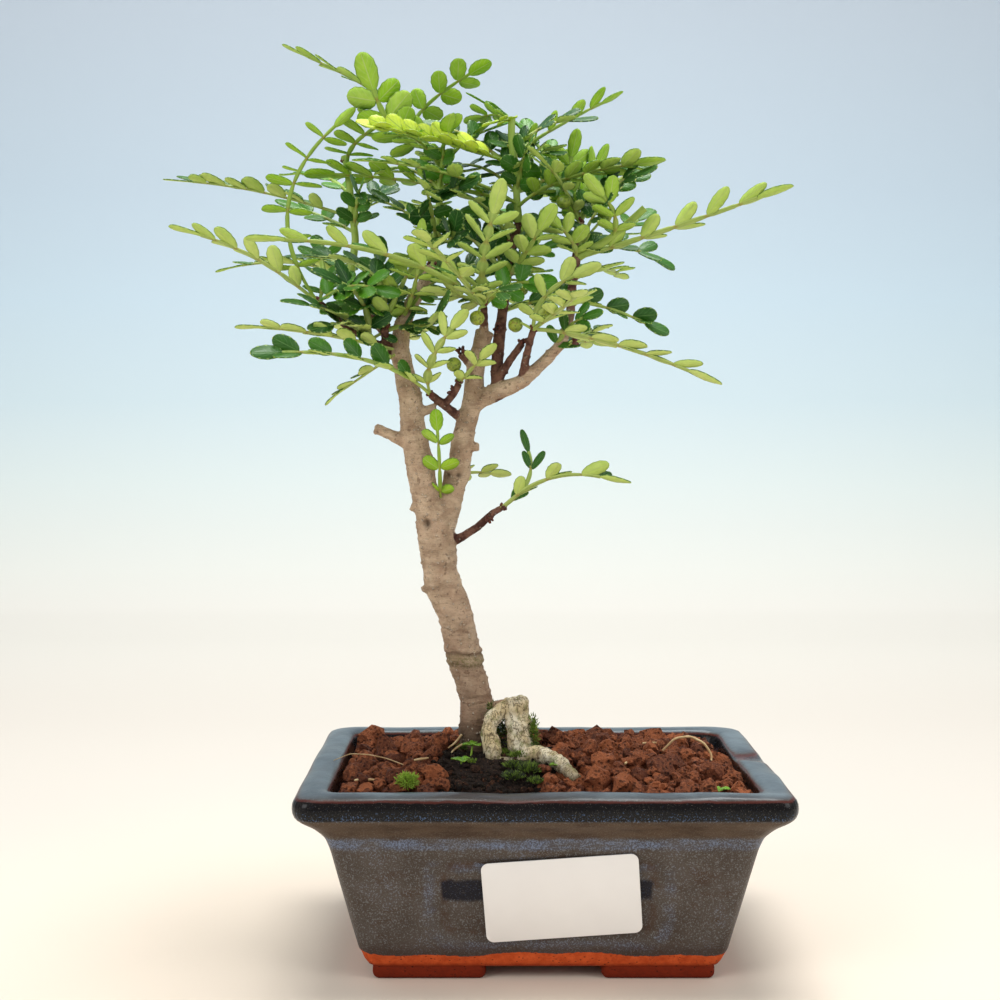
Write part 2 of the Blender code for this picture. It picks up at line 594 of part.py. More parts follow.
def gravel_relief(rng):
    """A slab over the whole pot whose top is heaped into rough grains, high and low by turns."""
    wide, deep = 2 * MOUND_HALF_X, 2 * MOUND_HALF_Y + 2
    columns, rows = round(wide / GRAIN_PITCH), round(deep / GRAIN_PITCH / 0.87)
    points, faces = [], []
    for row in range(rows + 1):
        for column in range(columns + 1):
            x = (column / columns - 0.5) * wide + (row % 2 - 0.5) * GRAIN_PITCH / 2
            y = (row / rows - 0.5) * deep
            heap = rng.uniform(*GRAIN_TOPS) if (column + row // 2 + row % 2) % 3 else rng.uniform(*GRAIN_DIPS)
            x, y = (value + rng.uniform(-0.18, 0.18) * GRAIN_PITCH for value in (x, y))
            points.append((x, y, mound(x, y) + heap))
    in_row = columns + 1
    for row in range(rows):
        for column in range(columns):
            a, b = row * in_row + column, row * in_row + column + 1
            c, d = b + in_row, a + in_row
            faces += [(a, b, c), (a, c, d)] if row % 2 else [(a, b, d), (b, c, d)]
    rim = list(range(columns)) + [row * in_row + columns for row in range(rows)]
    rim += [rows * in_row + column for column in range(columns, 0, -1)]
    rim += [row * in_row for row in range(rows, 0, -1)]
    below = len(points)
    points += [(points[index][0], points[index][1], 30) for index in rim]
    count = len(rim)
    faces += [(rim[i], below + i, below + (i + 1) % count, rim[(i + 1) % count]) for i in range(count)]
    faces.append(tuple(below + i for i in reversed(range(count))))
    return points, faces


def make_gravel():
    """The gravel bed: the heaped relief kept inside the pot's wall and round the bare patch."""
    above = 58
    half_x, half_y = pot_inner_half(47)
    wall_high = rounded_rectangle(half_x - GAP, half_y - GAP, 4 - GAP, above)
    wall_low = wall_ring(MOUND_BASE - BED_DROP - GRAVEL_DEPTH, GAP)
    edge = patch_ring(1 + 0.1 / PATCH_RADII[0])
    drop = -BED_DROP - GRAVEL_DEPTH
    below = [between(edge, wall_low, share, drop) for share in (0, 0.33, 0.67)]
    rings = [wall_high, [(x, y, above) for x, y, _ in edge], *below, wall_low]
    count = len(wall_low)
    points = [point for ring in rings for point in ring]
    faces = []
    for level in range(len(rings)):
        for index in range(count):
            after, onward = (index + 1) % count, (level + 1) % len(rings)
            faces.append((level * count + index, level * count + after, onward * count + after, onward * count + index))
    gravel = new_object("gravel", *gravel_relief(random.Random(4)), "gravel")
    limits = cut(gravel, points, faces, "gravel limits")
    gravel.modifiers[0].operation = "INTERSECT"
    apply_modifiers(gravel)
    bpy.data.objects.remove(limits, do_unlink=True)
    keep_outer_body(gravel.data)
    return gravel


def make_wood():
    shapes = [tube(path, sides) for sides, path in STEMS.values()]
    return joined("wood", shapes, "bark")


def plate(top, faces, normals, thickness):
    """A closed thin blade: the sheet's faces on both sides, split alike, and a wall along its free edge."""
    count = len(top)
    points = [point + normal * thickness / 2 for point, normal in zip(top, normals)]
    points += [point - normal * thickness / 2 for point, normal in zip(top, normals)]
    edges = {(face[i], face[(i + 1) % 3]) for face in faces for i in range(3)}
    sides = [(b, a, a + count, b + count) for a, b in edges if (b, a) not in edges]
    walls = [half for a, b, c, d in sorted(sides) for half in ((a, b, c), (a, c, d))]
    under = [(c + count, b + count, a + count) for a, b, c in faces]
    return points, [tuple(face) for face in faces] + under + walls


class Leaf:
    """A compound leaf: a rib with a leaflet at each side of every joint, and one at its end."""

    def __init__(self, base, way, tip, pairs, face, size, rng):
        self.base, self.tip = Vector(base), Vector(tip)
        self.bend = 2 * Vector(way) - 0.5 * (self.base + self.tip)
        turn = math.radians(face)
        self.top = Vector((0, -math.sin(turn), math.cos(turn)))
        steps = [self.curve(i / CURVE_STEPS) for i in range(CURVE_STEPS + 1)]
        self.reached = [0.0]
        for a, b in zip(steps, steps[1:]):
            self.reached.append(self.reached[-1] + (b - a).length)
        self.length = self.reached[-1]
        self.size, pairs = self.fitting(pairs, size)
        self.end_length = LEAFLET_LENGTH * self.size * 1.1
        self.rib_length = self.length - self.end_length
        self.leaflets = []
        for index in range(pairs):
            at = self.rib_length * (PETIOLE + (0.96 - PETIOLE) * index / (pairs - 0.4))
            grown = 0.82 + 0.18 * min(1, index / 1.5)
            for side in (1, -1):
                self.leaflets.append({
                    "at": at, "side": side, "sweep": 22 + 16 * index / pairs + rng.uniform(-7, 7),
                    "fold": 16 + rng.uniform(-8, 12),
                    "length": LEAFLET_LENGTH * self.size * grown * rng.uniform(0.93, 1.06)})

    def fitting(self, pairs, size):
        """Size and pairs of leaflets that stand along the rib without touching their neighbours."""
        smallest = size * 0.85
        while pairs > 1:
            rib = self.length - LEAFLET_LENGTH * size * 1.1
            step = rib * (0.96 - PETIOLE) / (pairs - 0.4)
            if step > LEAFLET_WIDTH * size * SPACING:
                break
            if size > smallest:
                size -= 0.03
            else:
                pairs -= 1
        return size, pairs

    def curve(self, share):
        return (1 - share) ** 2 * self.base + 2 * share * (1 - share) * self.bend + share ** 2 * self.tip

    def share_at(self, distance):
        """Share along the curve's own parameter at this distance from the base."""
        distance = min(max(distance, 0), self.length)
        i = next((i for i in range(CURVE_STEPS) if self.reached[i + 1] >= distance), CURVE_STEPS - 1)
        return (i + (distance - self.reached[i]) / (self.reached[i + 1] - self.reached[i])) / CURVE_STEPS

    def at(self, distance):
        return self.curve(self.share_at(distance))

    def frame(self, distance):
        """Forward, sideways and top directions on the rib."""
        share = self.share_at(distance)
        forward = (2 * (1 - share) * (self.bend - self.base) + 2 * share * (self.tip - self.bend)).normalized()
        top = (self.top - forward * self.top.dot(forward)).normalized()
        return forward, top.cross(forward), top

    def blade(self, leaflet):
        """Outline of one leaflet: its near shoulder, tip and far shoulder, with its own top direction."""
        forward, left, top = self.frame(leaflet["at"])
        sweep, fold = math.radians(leaflet["sweep"]), math.radians(leaflet["fold"])
        across = left * leaflet["side"] * math.cos(fold) + top * math.sin(fold)
        out = across * math.cos(sweep) + forward * math.sin(sweep)
        normal = (top * math.cos(fold) - left * leaflet["side"] * math.sin(fold)).normalized()
        along = (forward - out * forward.dot(out)).normalized()
        root = self.at(leaflet["at"]) + left * leaflet["side"] * RIB_WIDTH / 2
        length = leaflet["length"]
        half = length * LEAFLET_WIDTH / LEAFLET_LENGTH / 2
        near = root + out * length * 0.48 - along * half
        far = root + out * length * 0.48 + along * half
        return near, root + out * length, far, normal

    def leaflet_shape(self, leaflet, thickness):
        near, end, far, normal = self.blade(leaflet)
        half = LEAFLET_FOOT * self.size / 2
        forward = self.frame(leaflet["at"])[0]
        root = self.at(leaflet["at"])
        outline = [root - forward * half, near, end, far, root + forward * half]
        return plate(outline, [(0, 1, 2), (0, 2, 4), (4, 2, 3)], [normal] * 5, thickness)

    def sheet(self, leaflets, thickness):
        """The whole leaf as one closed blade, its leaflets cut to the rib."""
        joints = sorted({leaflet["at"] for leaflet in self.leaflets})
        half = LEAFLET_FOOT * self.size / 2
        stations = [0.0] + [joint + shift for joint in joints for shift in (-half, half)] + [self.rib_length]
        points, normals, faces = [], [], []
        for station in stations:
            forward, left, top = self.frame(station)
            middle = self.at(station)
            points += [middle + left * RIB_WIDTH / 2, middle - left * RIB_WIDTH / 2]
            normals += [top, top]
        for i in range(len(stations) - 1):
            a, b, c, d = 2 * i, 2 * i + 1, 2 * i + 3, 2 * i + 2
            faces += [(a, b, c), (a, c, d)]
        for leaflet in leaflets:
            first = 1 + 2 * joints.index(leaflet["at"])
            near, end, far, normal = self.blade(leaflet)
            start = len(points)
            points += [near, end, far]
            normals += [normal] * 3
            low, high = 2 * first, 2 * first + 2
            if leaflet["side"] < 0:
                low, high = low + 1, high + 1
                faces += [(low, start, start + 1), (low, start + 1, high), (high, start + 1, start + 2)]
            else:
                faces += [(low, start + 1, start), (low, high, start + 1), (high, start + 2, start + 1)]
        forward, left, top = self.frame(self.rib_length)
        root = self.at(self.rib_length)
        length = self.end_length
        half = length * LEAFLET_WIDTH / LEAFLET_LENGTH / 2
        start = len(points)
        last = 2 * (len(stations) - 1)
        points += [root + forward * length * 0.5 + left * half, root + forward * length,
                   root + forward * length * 0.5 - left * half]
        normals += [top] * 3
        faces += [(last, start + 1, start), (last, last + 1, start + 1), (last + 1, start + 2, start + 1)]
        return plate(points, faces, normals, thickness)


def ball(middle, radius, subdivisions=1):
    mesh = bmesh.new()
    bmesh.ops.create_icosphere(mesh, subdivisions=subdivisions, radius=radius)
    points = [Vector(middle) + vertex.co for vertex in mesh.verts]
    faces = [tuple(vertex.index for vertex in face.verts) for face in mesh.faces]
    mesh.free()
    return points, faces


def tree_of(shape):
    points, faces = shape
    return BVHTree.FromPolygons(points, faces)


def bud_place(spray, wood_trees):
    """The bud moves in along its own direction until it would come nearer to the wood than the gap."""
    toward = Vector(spray["toward"]).normalized()
    place = Vector(spray["seat"]) + toward * BUD_START
    for step in range(int(BUD_START / BUD_STEP)):
        nearer = place - toward * BUD_STEP
        sphere = tree_of(ball(nearer, BUD_RADIUS + GAP))
        if any(sphere.overlap(tree) for tree in wood_trees):
            break
        place = nearer
    return place


def stalk_shapes(spray, bud):
    """The bud, green shoot and berries of a spray."""
    shapes = [ball(bud, BUD_RADIUS)]
    if "shoot" in spray:
        path = [(*bud, 1.0)] + [(*point, 0.85) for point in spray["shoot"]]
        shapes.append(tube(path, 5))
    for berry in spray["berries"]:
        shapes.append(ball(berry, BERRY_RADIUS))
        shapes.append(tube([(*bud, 0.5), (*berry, 0.5)], 4))
    return shapes


def grow_leaves():
    """The shapes of every spray. A leaflet that would cross another node is turned, or left out."""
    wood_trees = [tree_of(tube(path, sides)) for sides, path in STEMS.values()]
    buds = {name: bud_place(spray, wood_trees) for name, spray in SPRAYS.items()}
    stalks = {name: stalk_shapes(spray, buds[name]) for name, spray in SPRAYS.items()}
    grown = {name: [tree_of(shape) for shape in shapes] for name, shapes in stalks.items()}
    result = {}
    for number, (name, spray) in enumerate(SPRAYS.items()):
        rng = random.Random(100 + number)
        others = wood_trees + [tree for other, trees in grown.items() if other != name for tree in trees]
        shapes = list(stalks[name])
        for base, way, tip, pairs, face, size in spray["leaves"]:
            start = buds[name] if base is None else Vector(base)
            leaf = Leaf(start, way, tip, pairs, face, size, rng)
            kept = []
            for leaflet in leaf.leaflets:
                for fold, sweep in LEAFLET_TURNS:
                    turned = dict(leaflet, fold=leaflet["fold"] + fold, sweep=leaflet["sweep"] + sweep)
                    test = tree_of(leaf.leaflet_shape(turned, BLADE + 2 * GAP))
                    if not any(test.overlap(tree) for tree in others):
                        kept.append(turned)
                        break
            whole = leaf.sheet(kept, BLADE)
            grown[name].append(tree_of(whole))
            shapes.append(whole)
        result[name] = shapes
    return result


def centre_on_origin():
    """Moves every mesh so that the whole box stands centred on the origin."""
    pieces = [item for item in bpy.context.scene.objects if item.type == "MESH"]
    corners = [vertex.co for piece in pieces for vertex in piece.data.vertices]
    middle = [(min(c[axis] for c in corners) + max(c[axis] for c in corners)) / 2 for axis in (0, 1)]
    shift = Vector((-middle[0], -middle[1], -min(c.z for c in corners)))
    for piece in pieces:
        piece.data.transform(Matrix.Translation(shift))


def main():
    clear_scene()
    make_pot()
    make_label()
    make_soil()
    make_gravel()
    make_wood()
    for name, shapes in grow_leaves().items():
        joined(name, shapes, "leaf")
    centre_on_origin()


main()
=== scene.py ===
# Chinese pepper bonsai in a glazed pot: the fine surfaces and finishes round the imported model.
# Lengths in the dictionaries are millimetres from the middle of the pot's foot plane,
# with +X to the right, +Y to the back and +Z up.

import math
import random

import bpy
import numpy as np
from mathutils import Matrix, Vector, kdtree, noise


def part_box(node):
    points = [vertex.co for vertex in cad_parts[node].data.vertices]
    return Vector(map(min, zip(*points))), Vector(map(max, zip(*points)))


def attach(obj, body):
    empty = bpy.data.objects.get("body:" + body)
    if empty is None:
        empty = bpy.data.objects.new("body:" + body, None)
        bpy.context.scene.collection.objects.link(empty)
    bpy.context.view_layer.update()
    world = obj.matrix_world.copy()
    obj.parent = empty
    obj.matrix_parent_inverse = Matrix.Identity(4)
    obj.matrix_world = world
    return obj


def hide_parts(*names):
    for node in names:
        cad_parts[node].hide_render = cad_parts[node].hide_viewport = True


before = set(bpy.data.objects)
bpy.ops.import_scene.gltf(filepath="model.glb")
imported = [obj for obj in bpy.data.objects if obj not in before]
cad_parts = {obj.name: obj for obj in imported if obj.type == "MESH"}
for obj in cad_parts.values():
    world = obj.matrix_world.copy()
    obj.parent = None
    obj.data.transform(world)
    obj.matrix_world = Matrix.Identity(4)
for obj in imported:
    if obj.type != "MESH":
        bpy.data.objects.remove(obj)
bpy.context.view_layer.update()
mm = 0.001
potLow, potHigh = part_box("pot")
potMiddle = Vector(((potLow.x + potHigh.x) / 2, (potLow.y + potHigh.y) / 2, 0))
print("frame loaded:", len(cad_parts), "solids")


# Shader maths: arithmetic on a wire adds the Math nodes for it
class Wire:
    def __init__(self, finish, socket):
        self.finish, self.socket = finish, socket

    def __add__(self, other):
        return self.finish.maths("ADD", self, other)

    def __radd__(self, other):
        return self.finish.maths("ADD", other, self)

    def __sub__(self, other):
        return self.finish.maths("SUBTRACT", self, other)

    def __rsub__(self, other):
        return self.finish.maths("SUBTRACT", other, self)

    def __mul__(self, other):
        return self.finish.maths("MULTIPLY", self, other)

    def __rmul__(self, other):
        return self.finish.maths("MULTIPLY", other, self)

    def __truediv__(self, other):
        return self.finish.maths("DIVIDE", self, other)

    def __pow__(self, other):
        return self.finish.maths("POWER", self, other)

    def __neg__(self):
        return self.finish.maths("MULTIPLY", self, -1)

    def __abs__(self):
        return self.finish.maths("ABSOLUTE", self)

    def least(self, other):
        return self.finish.maths("MINIMUM", self, other)

    def most(self, other):
        return self.finish.maths("MAXIMUM", self, other)

    def step(self, low, high):
        # 0 below low, 1 above high and smooth between
        settings = {"interpolation_type": "SMOOTHSTEP"}
        values = {"Value": self, "From Min": low, "From Max": high}
        return self.finish.node("ShaderNodeMapRange", settings, values, "Result")


class Finish:
    def __init__(self, name, roughness=0.5, **constants):
        self.material = bpy.data.materials.new(name)
        self.material.use_nodes = True
        self.tree = self.material.node_tree
        self.shader = self.tree.nodes["Principled BSDF"]
        self.shader.inputs["Roughness"].default_value = roughness
        for socket, value in constants.items():
            self.shader.inputs[socket.replace("_", " ")].default_value = value

    def node(self, kind, settings, values, output):
        made = self.tree.nodes.new(kind)
        for setting, value in settings.items():
            setattr(made, setting, value)
        for socket, value in values.items():
            if isinstance(value, Wire):
                self.tree.links.new(value.socket, made.inputs[socket])
            else:
                made.inputs[socket].default_value = value
        return Wire(self, made.outputs[output])

    def maths(self, operation, *values):
        return self.node("ShaderNodeMath", {"operation": operation}, dict(enumerate(values)), 0)

    def place(self):
        # object coordinates in millimetres from the pot's middle
        spot = self.node("ShaderNodeTexCoord", {}, {}, "Object")
        values = {0: spot, 1: tuple(potMiddle)}
        moved = self.node("ShaderNodeVectorMath", {"operation": "SUBTRACT"}, values, 0)
        return self.node("ShaderNodeVectorMath", {"operation": "SCALE"}, {0: moved, "Scale": 1 / mm}, 0)

    def parts(self, vector):
        return [self.node("ShaderNodeSeparateXYZ", {}, {0: vector}, axis) for axis in "XYZ"]

    def stretched(self, vector, scale):
        return self.node("ShaderNodeVectorMath", {"operation": "MULTIPLY"}, {0: vector, 1: scale}, 0)

    def noise(self, vector, size, detail=3.0, rough=0.55, output="Fac"):
        values = {"Vector": vector, "Scale": 1 / size, "Detail": detail, "Roughness": rough}
        return self.node("ShaderNodeTexNoise", {}, values, output)

    def cells(self, vector, size, feature="F1", output="Distance", jitter=1.0):
        values = {"Vector": vector, "Scale": 1 / size, "Randomness": jitter}
        return self.node("ShaderNodeTexVoronoi", {"feature": feature}, values, output)

    def attribute(self, name, output="Fac"):
        return self.node("ShaderNodeAttribute", {"attribute_name": name}, {}, output)

    def mix(self, share, first, second, blend="MIX"):
        first, second = (value if isinstance(value, Wire) else (*value, 1) for value in (first, second))
        settings = {"data_type": "RGBA", "blend_type": blend}
        return self.node("ShaderNodeMix", settings, {0: share, 6: first, 7: second}, 2)

    def bump(self, height, distance, strength=1.0, under=None):
        values = {"Height": height, "Distance": distance * mm, "Strength": strength}
        if under:
            values["Normal"] = under
        return self.node("ShaderNodeBump", {}, values, "Normal")

    def wear(self, **wires):
        # what changes over the surface: Base_Color, Roughness and Normal
        for socket, wire in wires.items():
            self.tree.links.new(wire.socket, self.shader.inputs[socket.replace("_", " ")])
        return self.material


def tone(red, green, blue):
    # a colour as seen on a screen, 0 to 255, as the shader counts it
    values = (value / 255 for value in (red, green, blue))
    return tuple(v / 12.92 if v <= 0.04045 else ((v + 0.055) / 1.055) ** 2.4 for v in values)


# Modelling helpers
def deselect():
    if bpy.context.mode != "OBJECT":
        bpy.ops.object.mode_set(mode="OBJECT")
    bpy.ops.object.select_all(action="DESELECT")


def pick(*items):
    deselect()
    for item in items:
        item.select_set(True)
    bpy.context.view_layer.objects.active = items[0]
    return items[0]


def editing(item, kind="VERT"):
    # edit mode with nothing selected
    pick(item)
    bpy.ops.object.mode_set(mode="EDIT")
    bpy.ops.mesh.select_mode(type=kind)
    bpy.ops.mesh.select_all(action="DESELECT")


def applied(item, kind, **settings):
    pick(item)
    modifier = item.modifiers.new(kind.lower(), kind)
    for setting, value in settings.items():
        setattr(modifier, setting, value)
    bpy.ops.object.modifier_apply(modifier=modifier.name)
    return item


def points(item):
    found = np.empty(len(item.data.vertices) * 3)
    item.data.vertices.foreach_get("co", found)
    return found.reshape(-1, 3)


def movePoints(item, places):
    item.data.vertices.foreach_set("co", np.asarray(places, float).ravel())
    item.data.update()


def mark(item, name, values):
    # a value for each point, read by the finishes
    layer = item.data.attributes.get(name) or item.data.attributes.new(name, "FLOAT", "POINT")
    layer.data.foreach_set("value", np.broadcast_to(np.asarray(values, np.float32), len(item.data.vertices)).copy())


def smooth(item, angle=60):
    pick(item)
    bpy.ops.object.shade_smooth_by_angle(angle=math.radians(angle))


def outwards(item):
    editing(item)
    bpy.ops.mesh.select_all(action="SELECT")
    bpy.ops.mesh.normals_make_consistent(inside=False)
    bpy.ops.object.mode_set(mode="OBJECT")


def joinedPiece(name, items):
    pick(*items)
    if len(items) > 1:
        bpy.ops.object.join()
    whole = bpy.context.object
    whole.name = whole.data.name = name
    return whole


def evenly(keys, step, rounds=0):
    # points every step along the line through the keys, its bends rounded off
    keys = np.array(keys, float)
    run = np.concatenate([[0], np.cumsum(np.linalg.norm(np.diff(keys[:, :3], axis=0), axis=1))])
    spots = np.linspace(0, run[-1], max(2, round(run[-1] / step) + 1))
    line = np.stack([np.interp(spots, run, column) for column in keys.T], axis=1)
    for _ in range(rounds):
        line[1:-1] = (line[:-2] + 2 * line[1:-1] + line[2:]) / 4
    return line


def roughly(places, size, seed=0.0):
    # smooth noise from -1 to 1 at each place, its bumps about this size
    shift = Vector((seed, seed * 1.7, -seed))
    return np.array([noise.noise(Vector(place) / size + shift) for place in places])


def settle(piece, slot, *nodes):
    # into the frame, on the one body, in the place of these solids
    piece.data.transform(Matrix.Translation(potMiddle))
    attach(piece, "root")
    if nodes:
        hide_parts(*nodes)
    return piece


# Pot: a rounded plate drawn up ring by ring, inside and out
pot = {
    "wall": [  # height, half width, half depth
        (3.4, 43.6, 30.0), (4.4, 44.7, 31.1), (7.3, 45.7, 32.1), (20, 48.9, 35.1), (33.5, 52.2, 38.2),
        (36.8, 53.5, 39.3), (39.6, 56.3, 41.6), (41.6, 59.4, 44.0), (42.9, 60.6, 44.9), (44.5, 60.9, 45.1),
        (46.6, 60.7, 44.9), (47.7, 59.9, 44.2), (48.2, 58.3, 42.6), (48.4, 55.6, 39.9), (48.1, 53.5, 37.8),
        (47.3, 52.6, 36.9), (44.0, 51.6, 36.1), (8.0, 41.0, 27.5)],
    "cornerRadius": 3.6, "cornerSteps": 7, "pitch": 1.1, "lipStart": 48.4,
    "feet": {"half": (14, 4.5), "middle": (28.3, 25.5), "height": 4.2, "round": 1.6},
    "drain": (22, 4.5),
    "panel": {"middle": (1.2, 21.5), "half": (27.2, 10.4), "corner": 4.5, "depth": 0.8, "edge": 2.6},
    "warp": 0.35, "dent": {"at": (56.8, 4.0), "size": 5.5, "depth": 1.3},
    "glazeLine": 7.0, "glazeStep": 0.35,
}
wallFront = np.array([(z, depth) for z, _, depth in pot["wall"][:13]])
wallSide = np.array([(z, width) for z, width, _ in pot["wall"][:13]])


def panelDistance(x, z):
    # how far inside the sunken panel's outline a point of the front wall lies
    panel = pot["panel"]
    across = np.abs(x - panel["middle"][0]) - panel["half"][0] + panel["corner"]
    along = np.abs(z - panel["middle"][1]) - panel["half"][1] + panel["corner"]
    outside = np.hypot(np.maximum(across, 0), np.maximum(along, 0))
    return panel["corner"] - outside - np.minimum(np.maximum(across, along), 0)


def glazeLine(x, y):
    return pot["glazeLine"] + 0.5 * np.sin(x * 0.11 + 1.3) + 0.3 * np.sin(x * 0.31 + y * 0.27) + 0.2 * np.sin(y * 0.6)


def makePot():
    wall = evenly(pot["wall"], pot["pitch"], 1) * mm
    bpy.ops.mesh.primitive_plane_add(size=2, location=(0, 0, 0))
    body = bpy.context.object
    body.scale = (wall[0, 1], wall[0, 2], 1)
    body.location = (0, 0, wall[0, 0])
    bpy.ops.object.transform_apply()
    editing(body)
    bpy.ops.mesh.select_all(action="SELECT")
    bpy.ops.mesh.bevel(offset=pot["cornerRadius"] * mm, segments=pot["cornerSteps"], affect="VERTICES")
    bpy.ops.object.mode_set(mode="OBJECT")
    for edge in body.data.edges:
        a, b = (body.data.vertices[i].co for i in edge.vertices)
        edge.select = (a - b).length > 10 * mm
    bpy.ops.object.mode_set(mode="EDIT")
    bpy.ops.mesh.select_mode(type="EDGE")
    bpy.ops.mesh.subdivide(number_cuts=60)
    bpy.ops.mesh.select_all(action="SELECT")
    for before, after in zip(wall, wall[1:]):
        bpy.ops.mesh.extrude_region_move(TRANSFORM_OT_translate={"value": (0, 0, after[0] - before[0])})
        bpy.ops.transform.resize(
            value=(after[1] / before[1], after[2] / before[2], 1), center_override=(0, 0, after[0]))
    bpy.ops.object.mode_set(mode="OBJECT")
    outwards(body)

    feet = []
    for side in (-1, 1):
        for end in (-1, 1):
            half, middle = pot["feet"]["half"], pot["feet"]["middle"]
            bpy.ops.mesh.primitive_cube_add(size=1, location=(side * middle[0] * mm, end * middle[1] * mm,
                                                              pot["feet"]["height"] / 2 * mm))
            foot = bpy.context.object
            foot.scale = (2 * half[0] * mm, 2 * half[1] * mm, pot["feet"]["height"] * mm)
            bpy.ops.object.transform_apply()
            applied(foot, "BEVEL", width=pot["feet"]["round"] * mm, segments=4, limit_method="ANGLE")
            feet.append(foot)
    feet = joinedPiece("feet", feet)
    drains = []
    for side in (-1, 1):
        bpy.ops.mesh.primitive_cylinder_add(
            vertices=32, radius=pot["drain"][1] * mm, depth=12 * mm, location=(side * pot["drain"][0] * mm, 0, 5 * mm))
        drains.append(bpy.context.object)
    drains = joinedPiece("drains", drains)
    applied(body, "BOOLEAN", object=feet, operation="UNION", solver="EXACT")
    applied(body, "BOOLEAN", object=drains, operation="DIFFERENCE", solver="EXACT")
    for tool in (feet, drains):
        bpy.data.objects.remove(tool)

    places = points(body) / mm
    x, y, z = places.T
    out = np.zeros_like(places)
    onSide = np.abs(x) / np.interp(z, *wallSide.T) > np.abs(y) / np.interp(z, *wallFront.T)
    out[:, 0] = np.where(onSide, np.sign(x), 0)
    out[:, 1] = np.where(onSide, 0, np.sign(y))
    front = (y < -25) & (np.abs(x) < 42) & (z > 6) & (z < 38) & (y < -np.interp(z, *wallFront.T) + 3)
    sunk = np.clip(panelDistance(x, z) / pot["panel"]["edge"] + 0.5, 0, 1)
    sunk = sunk * sunk * (3 - 2 * sunk) * pot["panel"]["depth"] * front
    warp = roughly(places, 26, 3.1) * pot["warp"] + roughly(places, 9, 8.2) * 0.12
    line = glazeLine(x, y)
    outer = (z < 42) & ((np.abs(x) > np.interp(z, *wallSide.T) - 3) | (np.abs(y) > np.interp(z, *wallFront.T) - 3))
    bare = np.clip((line - z) / 0.7, 0, 1) * pot["glazeStep"] * outer * (z > 3.6)
    places += out * (warp * (z > 4.5) - sunk - bare)[:, None]
    high = np.clip((z - 46) / 2, 0, 1)
    places[:, 2] += high * (roughly(places, 17, 5.0) * 0.45 + roughly(places, 6, 1.0) * 0.12)
    dent = pot["dent"]
    reach = np.hypot(x - dent["at"][0], y - dent["at"][1]) / dent["size"]
    places[:, 2] -= high * dent["depth"] * np.exp(-reach ** 2)
    places[:, 0] -= high * 0.6 * np.exp(-reach ** 2)
    movePoints(body, places * mm)

    corner = np.maximum(np.interp(z, *wallSide.T) - np.abs(x), np.interp(z, *wallFront.T) - np.abs(y))
    mark(body, "bareClay", np.where(outer | (z < 3.8), line - z, -9))
    mark(body, "edgeGap", corner)
    mark(body, "panelGap", np.where(front, panelDistance(x, z), -9))
    smooth(body, 50)
    body.name = "glazed_pot"
    body.data.materials.clear()
    body.data.materials.append(glazeFinish())
    return settle(body, "glazed_stoneware", "pot")


